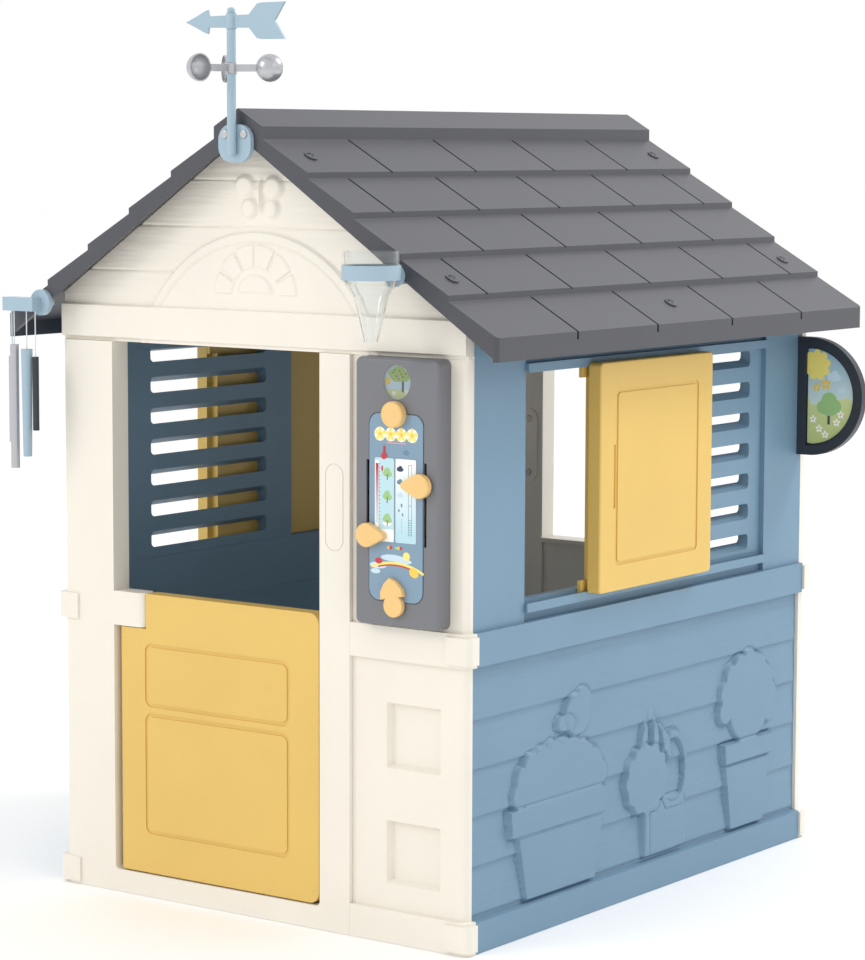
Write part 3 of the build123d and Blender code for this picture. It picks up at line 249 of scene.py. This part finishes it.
def relief(name, u_span, v_span, step, depth, back, place, cuts, material):
    """A panel whose face is a grid lifted by depth(u, v) millimetres and whose back is flat.
    place(u, v, d) gives the millimetre point; cuts are planes that trim the grid."""
    us = np.arange(u_span[0], u_span[1] + step[0] * 0.5, step[0])
    vs = np.arange(v_span[0], v_span[1] + step[1] * 0.5, step[1])
    us[-1], vs[-1] = u_span[1], v_span[1]
    grid_u, grid_v = np.meshgrid(us, vs, indexing="ij")
    lifted = depth(grid_u, grid_v)
    bm = bmesh.new()
    rows = [[bm.verts.new((grid_u[i, j], grid_v[i, j], lifted[i, j]))
             for j in range(len(vs))] for i in range(len(us))]
    for i in range(len(us) - 1):
        for j in range(len(vs) - 1):
            bm.faces.new((rows[i][j], rows[i + 1][j], rows[i + 1][j + 1], rows[i][j + 1]))
    for point, normal in cuts:
        everything = bm.verts[:] + bm.edges[:] + bm.faces[:]
        bmesh.ops.bisect_plane(bm, geom=everything, plane_co=point, plane_no=normal,
                               clear_outer=True)
    rim = [e for e in bm.edges if e.is_boundary]
    made = bmesh.ops.extrude_edge_only(bm, edges=rim)["geom"]
    for vert in [g for g in made if isinstance(g, bmesh.types.BMVert)]:
        vert.co.z = back
    rim = [g for g in made if isinstance(g, bmesh.types.BMEdge) and g.is_boundary]
    bmesh.ops.contextual_create(bm, geom=rim)
    for vert in bm.verts:
        vert.co = Vector(place(*vert.co)) * MM
    return finish_mesh(name, bm, material, "house")


def ramp(inside, width):
    """0 outside a shape, 1 inside it, with a soft shoulder of that width."""
    t = np.clip(inside / width, 0, 1)
    return t * t * (3 - 2 * t)


def disc(u, v, cu, cv, ru, rv=None):
    """Signed distance inside an ellipse, positive inside."""
    rv = rv or ru
    return (1 - np.hypot((u - cu) / ru, (v - cv) / rv)) * min(ru, rv)


def plate(u, v, u0, u1, v0, v1, taper=0.0, radius=4.0):
    """Signed distance inside a rounded rectangle that widens upwards by taper on each side."""
    middle, half = (u0 + u1) / 2, (u1 - u0) / 2
    reach = half - taper * (v1 - v) / (v1 - v0) - radius
    du = np.abs(u - middle) - reach
    dv = np.abs(v - (v0 + v1) / 2) - (v1 - v0) / 2 + radius
    outside = np.hypot(np.maximum(du, 0), np.maximum(dv, 0))
    return radius - outside - np.minimum(np.maximum(du, dv), 0)


def smooth_noise(u, v, seed):
    """Repeatable value noise on a unit lattice, 0 to 1."""
    def corner(i, j):
        mix = np.sin(i * 127.1 + j * 311.7 + seed * 74.7) * 43758.5453
        return mix - np.floor(mix)
    iu, iv = np.floor(u), np.floor(v)
    fu, fv = u - iu, v - iv
    fu, fv = fu * fu * (3 - 2 * fu), fv * fv * (3 - 2 * fv)
    low = corner(iu, iv) * (1 - fu) + corner(iu + 1, iv) * fu
    high = corner(iu, iv + 1) * (1 - fu) + corner(iu + 1, iv + 1) * fu
    return low * (1 - fv) + high * fv


def timber(u, v, seed):
    """Sawn-timber grain that runs along u, in millimetres of relief."""
    bend = 5 * smooth_noise(u / 130, v / 60, seed + 1)
    fine = smooth_noise(u / 45, (v + bend) / 2.4, seed)
    broad = smooth_noise(u / 110, (v + bend) / 6.5, seed + 2)
    return 0.42 * (fine - 0.5) + 0.5 * (broad - 0.5)


# ---------------------------------------------------------------- side walls' boards
def bush(u, v, lobes):
    """A clipped bush: overlapping round lobes."""
    shape = np.full_like(u, -1e3)
    for cu, cv, r in lobes:
        shape = np.maximum(shape, disc(u, v, cu, cv, r))
    return shape


def garden(u, v):
    """Flower pots, bushes, a bird and a watering can, as (shape, height, shoulder) layers."""
    layers = []
    left = [(-372, 222, 24), (-362, 246, 24), (-340, 262, 26), (-312, 268, 26), (-283, 272, 27),
            (-252, 272, 28), (-222, 268, 28), (-192, 258, 28), (-166, 244, 28), (-150, 224, 26),
            (-260, 220, 62), (-310, 215, 55), (-205, 215, 58)]
    right = [(246, 262, 24), (252, 292, 26), (270, 318, 26), (298, 332, 26), (328, 336, 28),
             (356, 326, 28), (380, 304, 28), (394, 276, 26), (392, 246, 22), (325, 268, 70)]
    layers.append((bush(u, v, left), 5.0, 5.0))
    layers.append((bush(u, v, right), 5.0, 5.0))
    layers.append((plate(u, v, -381, -135, 53, 160, 23), 5.5, 4.0))
    layers.append((plate(u, v, -406, -124, 157, 204, 5), 7.5, 4.0))
    layers.append((plate(u, v, 243, 397, 53, 170, 20), 5.5, 4.0))
    layers.append((plate(u, v, 237, 409, 168, 208, 4), 7.5, 4.0))
    body = np.maximum(disc(u, v, -212, 328, 40, 36), disc(u, v, -196, 348, 24, 24))
    layers.append((body, 5.0, 5.0))
    layers.append((disc(u, v, -248, 318, 26, 15), 4.0, 4.0))
    can = np.maximum(plate(u, v, 0, 116, 57, 150, -6, 10), plate(u, v, -8, 92, 56, 84, 0, 8))
    layers.append((can, 5.0, 5.0))
    handle = 9 - np.abs(np.hypot((u - 78) / 0.62, v - 190) - 62)
    handle = np.minimum(handle, v - 130)
    layers.append((handle, 5.0, 4.0))
    for cu, cv, tilt in ((-14, 250, 0.25), (24, 250, -0.1), (56, 240, -0.45)):
        du = (u - cu) * math.cos(tilt) - (v - cv) * math.sin(tilt)
        dv = (u - cu) * math.sin(tilt) + (v - cv) * math.cos(tilt)
        layers.append((disc(du, dv, 0, 0, 11, 40), 4.5, 4.0))
    layers.append((plate(u, v, -15, 3, 57, 140, 0, 6), 6.0, 4.0))
    turn = np.arctan2(v - 188, u + 7)
    petals = disc(u, v, -7, 188, 66, 60) + 2.5 * np.cos(turn * 12)
    layers.append((petals, 6.5, 5.0))
    return layers


def board_depth(u, v):
    """Face of the boarded wall, in millimetres outside the inner plane of the wall."""
    lines = (BASE_TOP - 18,) + BOARD_LINES + (PANEL_TOP + 20,)
    face = np.zeros_like(u)
    for low, high in zip(lines, lines[1:]):
        on = (v >= low) & (v < high)
        up = np.clip((v - low) / (high - low), 0, 1)
        face = np.where(on, -BOARD_LEAN * up - 1.2 * ramp(3 - (v - low), 3), face)
    face = face + timber(u, v, 3)
    end = ramp(u - BOARD_END, 2)
    face = face * (1 - end) - 6.0 * end
    for shape, height, shoulder in garden(u, v):
        lift = ramp(shape, shoulder)
        face = np.maximum(face, face * (1 - lift) + (height - 0.5) * lift)
        groove = np.exp(-(np.minimum(shape, 0) / 3.0) ** 2) * (shape < 0)
        face = face - 2.0 * groove * (1 - lift)
    belt = ramp(BASE_TOP - v, 2.5)
    face = face * (1 - belt) + (SIDE_BELT - SIDE_FIELD) * belt
    return np.minimum(face, SIDE_BELT - SIDE_FIELD)


def boarded_wall(side, finishes):
    """Lower side wall; the left one is the same moulding turned half round."""
    sign = 1 if side == "right" else -1
    obj = relief(side + "_boards", (-SIDE_END, SIDE_END), (0, PANEL_TOP), (GRID_ACROSS, GRID_UP),
                 board_depth, SIDE_INNER - SIDE_FIELD,
                 lambda u, v, d: (sign * (SIDE_FIELD + d), sign * u, v), (),
                 finishes["blue_boards"])
    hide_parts(side + "_lower_panel")


# ---------------------------------------------------------------- gables
def gable_depth(u, v):
    """Face of the gable: sawn planks, an arch with a rising sun and a flower."""
    face = timber(u, v, 11)
    for line in PLANK_LINES:
        face = face - 2.2 * np.exp(-((v - line) / 1.6) ** 2)
    arch = disc(u, v, 0, ARCH_Z, ARCH_RADIUS)
    lift = ramp(arch, 3)
    face = face * (1 - lift) + 3.6 * lift
    face = face - 2.0 * np.exp(-((arch - 16) / 1.6) ** 2)
    face = face - 1.5 * np.exp(-((arch + 3) / 2.0) ** 2)
    turn = np.arctan2(v - SUN_Z, u)
    far = np.hypot(u, v - SUN_Z)
    rays = np.minimum(26 * np.abs(np.sin(turn * 6)) ** 0.5, 14) - 12
    rays = np.minimum(rays * 4, np.minimum(far - 46, 84 - far))
    rays = np.where(v > SUN_Z + 5, rays, -9.0)
    sun = np.minimum(disc(u, v, 0, SUN_Z, 38), v - SUN_Z - 5)
    face = face + 2.2 * ramp(rays, 3) + 3.2 * ramp(sun, 5)
    for cu, cv, ru, rv in ((-22, 1158, 24, 20), (-13, 1124, 19, 20), (34, 1156, 23, 21),
                           (31, 1124, 18, 20)):
        wing = ramp(disc(u, v, cu, cv, ru, rv), 9)
        face = face * (1 - wing) + 7.0 * wing
    trunk = ramp(disc(u, v, 8, 1142, 6, 34), 4)
    face = face * (1 - trunk) + 7.8 * trunk
    belt = ramp(np.minimum(v - LINTEL_LOW, LINTEL_HIGH - v), 2.5)
    belt = np.where(v < LINTEL_LOW, 0, belt)
    face = face * (1 - belt) + (FRONT_FRAME - FRONT_FIELD) * belt
    return np.minimum(face, FRONT_FRAME - FRONT_FIELD)


def gable_wall(end, finishes):
    """Gable skin with its relief over a plain inner slab."""
    sign = -1 if end == "front" else 1
    low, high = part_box(end + "_gable")
    base = low.z / MM
    peak = high.z / MM
    cuts = [((0, peak, 0), (side * ROOF_FALL, 1, 0)) for side in (1, -1)]
    skin = relief(end + "_gable_skin", (-SIDE_FIELD, SIDE_FIELD), (base, peak), (GRID_ACROSS, GRID_UP),
                  gable_depth, FRONT_SKIN - FRONT_FIELD,
                  lambda u, v, d: (-sign * u, sign * (FRONT_FIELD + d), v), cuts,
                  finishes["cream_boards"])
    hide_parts(end + "_gable")
    inner = relief(end + "_gable_lining", (-SIDE_INNER, SIDE_INNER), (base, peak),
                   (2 * SIDE_INNER, peak - base), lambda u, v: np.zeros_like(u),
                   FRONT_SKIN - FRONT_INNER,
                   lambda u, v, d: (-sign * u, sign * (FRONT_SKIN - d), v), cuts,
                   finishes["cream"])
    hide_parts(end + "_gable")


# ---------------------------------------------------------------- CAD mouldings kept
SOFT_EDGES = {
    "front_door_frame": ("cream", 2.5), "front_side_panel": ("cream", 1.8),
    "back_window_frame": ("cream", 2.5), "back_side_panel": ("cream", 1.8),
    "back_lower_panel": ("cream", 2.0), "right_window_frame": ("blue", 1.6),
    "left_window_frame": ("blue", 1.6), "right_louvres": ("blue", 1.5),
    "left_louvres": ("blue", 1.5), "roof_panel_right": ("roof", 2.2),
    "roof_panel_left": ("roof", 2.2), "roof_clips": ("roof", 0.4),
    "corner_screws": ("steel", 0.3), "joint_plates": ("cream", 1.0),
    "joint_screws": ("steel", 0.3), "sign_frame": ("dark", 2.0), "sign_picture": ("dark", 0.2),
    "station_housing": ("grey", 0.5), "station_board": ("ink_board", 0.3),
    "thermometer_card": ("cream", 0.2), "rain_card": ("cream", 0.2),
    "station_lens": ("clear", 0.2), "station_screws": ("steel", 0.3),
    "vane_bracket": ("sky", 0.8), "vane_screws": ("steel", 0.3), "vane_spindle": ("steel", 0.3),
    "spindle_spacer": ("sky", 0.3), "spindle_cap": ("sky", 0.3), "gauge_clamp": ("sky", 0.8),
    "chime_bar": ("sky", 1.0), "door_panel": ("yellow", 1.2), "door_pins": ("steel", 0.5),
    "right_shutter": ("yellow", 1.2), "left_shutter": ("yellow", 1.2),
    "season_disc": ("cream", 0.3), "season_knob": ("knob", 0.4),
    "temperature_slider": ("knob", 0.4), "rain_slider": ("knob", 0.4),
    "weather_pointer": ("knob", 0.4), "pointer_washer": ("knob", 0.2),
    "anemometer_rotor": ("flake", 0.4), "vane_arrow": ("sky", 0.8), "gauge_cup": ("clear", 0.3),
    "chime_tube_long": ("flake", 0.4), "chime_tube_short": ("flake", 0.4),
    "chime_tube_blue": ("sky", 0.4), "chime_tube_dark": ("dark", 0.4),
}


def soften(finishes):
    """Rounded edges and a finish for every moulding that keeps its CAD mesh."""
    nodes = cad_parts
    for name, (finish, radius_mm) in SOFT_EDGES.items():
        obj = nodes[name]
        for slot in obj.material_slots:
            slot.material = finishes[finish]
        bevel = obj.modifiers.new("soft_edges", "BEVEL")
        bevel.width = radius_mm * MM
        bevel.segments = 3
        bevel.limit_method = "ANGLE"
        bevel.angle_limit = math.radians(32)
        bevel.harden_normals = True


# ---------------------------------------------------------------- chime strings
def chime_strings(finishes):
    """Straight cords from the bar down to the tubes' lids."""
    for name in ("long", "short", "blue", "dark"):
        low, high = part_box("chime_string_" + name)
        x, y = (low.x + high.x) / 2, (low.y + high.y) / 2
        curve = bpy.data.curves.new("string_" + name, "CURVE")
        curve.dimensions = "3D"
        curve.bevel_depth = (high.x - low.x) / 2
        curve.use_fill_caps = True
        line = curve.splines.new("NURBS")
        line.points.add(4)
        line.use_endpoint_u = True
        line.order_u = 4
        for i, point in enumerate(line.points):
            point.co = (x, y, high.z + (low.z - high.z) * i / 4, 1.0)
        curve.materials.append(finishes["cord"])
        obj = bpy.data.objects.new("string_" + name, curve)
        bpy.context.scene.collection.objects.link(obj)
        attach(obj, "chime_" + name)
        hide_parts("chime_string_" + name)


# ---------------------------------------------------------------- printing
STATION_X = 294.5
BOARD_FRONT = 544.0
CARD_FRONT = 545.0
DISC_FRONT = 537.5
DISC_AXIS_Z = 821.0
PICTURE_RISE = 48.0
SIGN_FRONT = -486.0
SIGN_X = 429.3
SIGN_Z = 789.0
LAYER_STEP = 0.003
INK_FLOOR = 0.02
FLOWER_Z = 790.0
FLOWER_OFFSETS = (-30, -10, 10, 30)
ARC_Z = 480.0
SIGN_RADIUS = 83.0


def oval(cx, cz, rx, rz=None, turn=0.0, count=28):
    """Outline of an ellipse, turned by some degrees."""
    rz = rz or rx
    c, s = math.cos(math.radians(turn)), math.sin(math.radians(turn))
    points = []
    for i in range(count):
        a = 2 * math.pi * i / count
        x, z = rx * math.cos(a), rz * math.sin(a)
        points.append((cx + x * c - z * s, cz + x * s + z * c))
    return points


def strip(x0, x1, z0, z1):
    """Outline of an upright rectangle."""
    return [(x0, z0), (x1, z0), (x1, z1), (x0, z1)]


def band(cx, cz, radius, width, start, end, count=24):
    """Outline of an arc with that width, between two angles in degrees."""
    steps = [math.radians(start + (end - start) * i / count) for i in range(count + 1)]
    outer = [(cx + radius * math.cos(a), cz + radius * math.sin(a)) for a in steps]
    inner = [(cx + (radius - width) * math.cos(a), cz + (radius - width) * math.sin(a))
             for a in reversed(steps)]
    return outer + inner


def flower(cx, cz, reach, petals=5):
    """Petals round a middle, as separate ovals."""
    shapes = []
    for i in range(petals):
        a = 360 * i / petals + 90
        x = cx + 0.6 * reach * math.cos(math.radians(a))
        z = cz + 0.6 * reach * math.sin(math.radians(a))
        shapes.append(oval(x, z, 0.42 * reach, 0.3 * reach, a, 14))
    return shapes


def cloud(cx, cz, reach):
    """Cloud of four ovals."""
    return [oval(cx, cz, reach, 0.5 * reach), oval(cx - 0.5 * reach, cz + 0.2 * reach, 0.42 * reach),
            oval(cx + 0.1 * reach, cz + 0.4 * reach, 0.52 * reach),
            oval(cx + 0.6 * reach, cz + 0.1 * reach, 0.36 * reach)]


def print_on(name, base, layers, body, turn=None):
    """Ink shapes on a face that looks along -Y at y = -base; each layer lies on the last.
    turn is (x, z, degrees) for artwork that is turned about a point."""
    depth = 0.0
    for index, (finish, outlines) in enumerate(layers):
        bm = bmesh.new()
        for outline in outlines:
            depth += LAYER_STEP
            spots = outline
            if turn:
                cx, cz, angle = turn
                c, s = math.cos(math.radians(angle)), math.sin(math.radians(angle))
                spots = [(cx + (x - cx) * c - (z - cz) * s, cz + (x - cx) * s + (z - cz) * c)
                         for x, z in outline]
            front = [bm.verts.new((x * MM, -(base + depth + INK_FLOOR) * MM, z * MM)) for x, z in spots]
            rear = [bm.verts.new((x * MM, -base * MM, z * MM)) for x, z in spots]
            bm.faces.new(front)
            bm.faces.new(rear[::-1])
            for i in range(len(spots)):
                j = (i + 1) % len(spots)
                bm.faces.new((front[i], rear[i], rear[j], front[j]))
        finish_mesh(f"{name}_{index}", bm, finishes[finish], body)


def station_print():
    """Thermometer and rain scales, a weather arc and small flowers on the board."""
    x = STATION_X
    petals = [shape for dx in FLOWER_OFFSETS for shape in flower(x + dx, FLOWER_Z, 11)]
    hearts = [oval(x + dx, FLOWER_Z, 3.2) for dx in FLOWER_OFFSETS]
    far = [oval(x - 33, 590, 16, 5), oval(x - 6, 603, 22, 5), oval(x - 38, 581, 9, 4),
           oval(x + 14, 599, 16, 4)]
    print_on("board_art", BOARD_FRONT, [
        ("ink_white", [oval(x + dx, FLOWER_Z, 10.5) for dx in FLOWER_OFFSETS]),
        ("ink_yellow", petals), ("ink_gold", hearts),
        ("ink_pink", [strip(x - 17, x + 19, 776.4, 778.0)]),
        ("ink_haze", far),
        ("ink_slate", cloud(x + 19, 763, 6)),
        ("ink_yellow", [band(x - 2, ARC_Z, 117.5, 4, 62, 112), oval(x + 20, 607, 6.5)]),
        ("ink_red", [band(x - 2, ARC_Z, 113.5, 2.4, 66, 106)]),
        ("ink_gold", [oval(x + 34, 583, 9, 7, -25)]),
        ("ink_red", [oval(x - 32, 597, 7, 4.5), oval(x - 9, 618.5, 2.6), oval(x + 10, 618.5, 2.6)]),
        ("ink_gold", [oval(x - 14, 618.5, 2.2), oval(x + 5, 618.5, 2.4)]),
        ("ink_leaf", [oval(x + 0.5, 618.5, 2.4)]),
    ], "house")
    warm = [strip(257.5, 262.5, 655, 745.5)]
    marks = [strip(263.4, 266.0, z, z + 0.9) for z in range(660, 746, 6)]
    icons = ((279, 731), (279, 696), (279, 661))
    print_on("thermometer_art", CARD_FRONT, [
        ("ink_sky", [strip(255.7, 291.3, 627.2, 753.8)]),
        ("ink_white", [strip(264, 291.1, 627.4, 646), strip(256.4, 263.4, 634, 750),
                       *cloud(279, 655, 8)]),
        ("ink_heat", warm), ("ink_slate", marks + [strip(263.2, 263.7, 640, 746)]),
        ("ink_leaf", [oval(cx + dx, cz + dz, 5.4, 4.6) for cx, cz in icons
                      for dx, dz in ((-3, 0), (3.4, -1), (0, 4.4))]),
        ("ink_bark", [strip(cx - 0.8, cx + 0.8, cz - 10, cz - 1) for cx, cz in icons]),
        ("ink_red", [oval(269.5, 738, 1.8, 4.5)]),
    ], "house")
    rungs = [strip(319, 324.5, z, z + 0.8) for z in (745, 715, 684)]
    rungs += [strip(319, 324.5, 640 + 3.6 * i, 640.9 + 3.6 * i) for i in range(7)]
    print_on("rain_art", CARD_FRONT, [
        ("ink_rain", [strip(294.7, 332.3, 627.2, 753.8)]),
        ("ink_navy", cloud(303, 738, 6.4)), ("ink_slate", cloud(303, 718.5, 6.0)),
        ("ink_haze", cloud(303, 698.5, 6.0)),
        ("ink_slate", [strip(318.4, 319.2, 638, 746), strip(324.3, 325.0, 638, 746)] + rungs
         + [oval(306, 684, 1.6, 2.8), oval(301, 676, 1.4, 2.4), oval(308, 670, 1.4, 2.4)]
         + [strip(306, 306.8, 642 + 4 * i, 644 + 4 * i) for i in range(6)]),
    ], "house")
    print_on("thermometer_icon", BOARD_FRONT + 1.05, [
        ("ink_red", [oval(272.6, 757, 5.2), strip(270.9, 274.3, 757, 771), oval(272.6, 771, 1.7)]),
    ], "house")


def season_print():
    """One tree in each quarter of the dial: summer at the window, then the other seasons."""
    x, z = STATION_X, DISC_AXIS_Z + PICTURE_RISE
    crowns = (("ink_tree", "ink_meadow"), ("ink_gold", "ink_leaf"), ("ink_white", "ink_haze"),
              ("ink_pink", "ink_leaf"))
    for quarter, (crown, ground) in enumerate(crowns):
        leaves = [oval(x - 9, z + 12, 9, 7), oval(x + 2, z + 15, 12, 9), oval(x + 13, z + 9, 9, 8),
                  oval(x - 1, z + 7, 13, 7)]
        spots = [oval(x + dx, z + dz, 1.3) for dx, dz in ((-9, 14), (-3, 9), (3, 17), (9, 8),
                                                          (14, 13), (-6, 18), (1, 5), (6, 12))]
        print_on(f"season_{quarter}", DISC_FRONT, [
            ("ink_haze", [oval(x, z, 25.2)]),
            (ground, [[(x + 25 * math.cos(a), z + 25 * math.sin(a)) for a in
                       np.radians(np.linspace(-152, -28, 24))]]),
            ("ink_bark", [strip(x + 7, x + 11, z - 15, z + 8)]),
            (crown, leaves), ("ink_bark" if crown == "ink_tree" else "ink_leaf", spots),
            ("ink_gold", [oval(x - 19, z + 1, 5, 6)]),
            ("ink_white", flower(x - 8, z - 17, 4) + flower(x + 15, z - 14, 4)),
        ], "season_dial", (x, DISC_AXIS_Z, 90 * quarter))


def sign_print():
    """Sky, sun, a round tree in a meadow and a few flowers."""
    x, z = SIGN_X, SIGN_Z
    angles = np.radians(np.linspace(-88, 88, 60))
    edge = [(x + SIGN_RADIUS * math.cos(a), z + SIGN_RADIUS * math.sin(a)) for a in angles]
    meadow = [p for p in edge if p[1] < z - 8]
    hill = [(x + SIGN_RADIUS * math.cos(t) * 0.99, z - 8 + 7 * math.sin(3 * t)) for t in
            np.linspace(0.1, math.pi / 2 - 0.03, 20)]
    print_on("sign_art", SIGN_FRONT, [
        ("ink_dusk", [[(x - 5, z - 82), *edge, (x - 5, z + 82)]]),
        ("ink_meadow", [[(x - 5, z - 82), *meadow, *hill, (x - 5, z - 2)]]),
        ("ink_yellow", [oval(x + 12, z + 55, 14), *flower(x + 12, z + 55, 27, 9)]),
        ("ink_haze", cloud(x + 46, z + 34, 13) + cloud(x + 62, z + 10, 9)),
        ("ink_gold", flower(x + 30, z + 22, 10) + flower(x + 12, z + 16, 8)),
        ("ink_bark", [strip(x + 34, x + 39, z - 48, z - 20)]),
        ("ink_leaf", [oval(x + 26, z - 18, 13, 12), oval(x + 48, z - 16, 13, 12),
                      oval(x + 37, z - 5, 15, 13), oval(x + 37, z - 24, 16, 9)]),
        ("ink_white", [shape for dx, dz in ((6, -40), (18, -56), (52, -44), (30, -66), (60, -30))
                       for shape in flower(x + dx, z + dz, 7)]),
        ("ink_gold", [oval(x + dx, z + dz, 2) for dx, dz in ((6, -40), (18, -56), (52, -44),
                                                             (30, -66), (60, -30))]),
    ], "house")


# ---------------------------------------------------------------- studio
def studio():
    """Pale floor and soft light."""
    material = new_material("studio_floor_paper", Roughness=0.9, Base_Color=linear("#FFFFFF"))[0]
    bm = bmesh.new()
    bmesh.ops.create_grid(bm, x_segments=1, y_segments=1, size=40.0)
    mesh = bpy.data.meshes.new("floor")
    bm.to_mesh(mesh)
    bm.free()
    mesh.materials.append(material)
    floor = bpy.data.objects.new("floor", mesh)
    floor.location = (0, 0, -0.0005)
    bpy.context.scene.collection.objects.link(floor)

    world = bpy.data.worlds.new("studio")
    world.use_nodes = True
    background = world.node_tree.nodes["Background"]
    background.inputs["Color"].default_value = linear("#FFFFFF")
    background.inputs["Strength"].default_value = 1.0
    bpy.context.scene.world = world
    bpy.context.scene.view_settings.view_transform = "Standard"

    lamps = (("key", (-2.6, -4.6, 3.6), 2.0, 60), ("side", (5.5, -1.5, 3.6), 2.0, 10),
             ("top", (2.0, 2.5, 4.0), 1.2, 80))
    for name, place, size, power in lamps:
        light = bpy.data.lights.new(name, "AREA")
        light.size = size
        light.energy = power
        obj = bpy.data.objects.new(name, light)
        obj.location = place
        obj.rotation_mode = "QUATERNION"
        aim = Vector((0, 0, 0.6)) - Vector(place)
        obj.rotation_quaternion = aim.to_track_quat("-Z", "Y")
        bpy.context.scene.collection.objects.link(obj)


def camera():
    """Long lens, from the front right, a little above the roof's eaves."""
    lens = bpy.data.cameras.new("camera")
    lens.sensor_width = 36.0
    lens.lens = 116.04
    lens.clip_end = 100
    obj = bpy.data.objects.new("camera", lens)
    yaw, pitch, roll = math.radians(35.94), math.radians(-6.263), math.radians(0.2075)
    turn = (Matrix.Rotation(yaw, 4, "Z") @ Matrix.Rotation(math.pi / 2 + pitch, 4, "X")
            @ Matrix.Rotation(roll, 4, "Z"))
    obj.matrix_world = Matrix.Translation((3.0539, -4.2566, 1.2296)) @ turn
    bpy.context.scene.collection.objects.link(obj)
    bpy.context.scene.camera = obj


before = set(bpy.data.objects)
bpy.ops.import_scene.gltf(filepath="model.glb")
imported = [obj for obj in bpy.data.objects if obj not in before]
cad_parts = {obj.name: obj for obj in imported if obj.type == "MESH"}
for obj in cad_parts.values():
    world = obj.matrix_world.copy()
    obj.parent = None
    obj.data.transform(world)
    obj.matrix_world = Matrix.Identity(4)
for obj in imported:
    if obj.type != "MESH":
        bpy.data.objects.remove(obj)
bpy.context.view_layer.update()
finishes = materials()
soften(finishes)
for side in ("right", "left"):
    boarded_wall(side, finishes)
for end in ("front", "back"):
    gable_wall(end, finishes)
chime_strings(finishes)
station_print()
season_print()
sign_print()
studio()
camera()
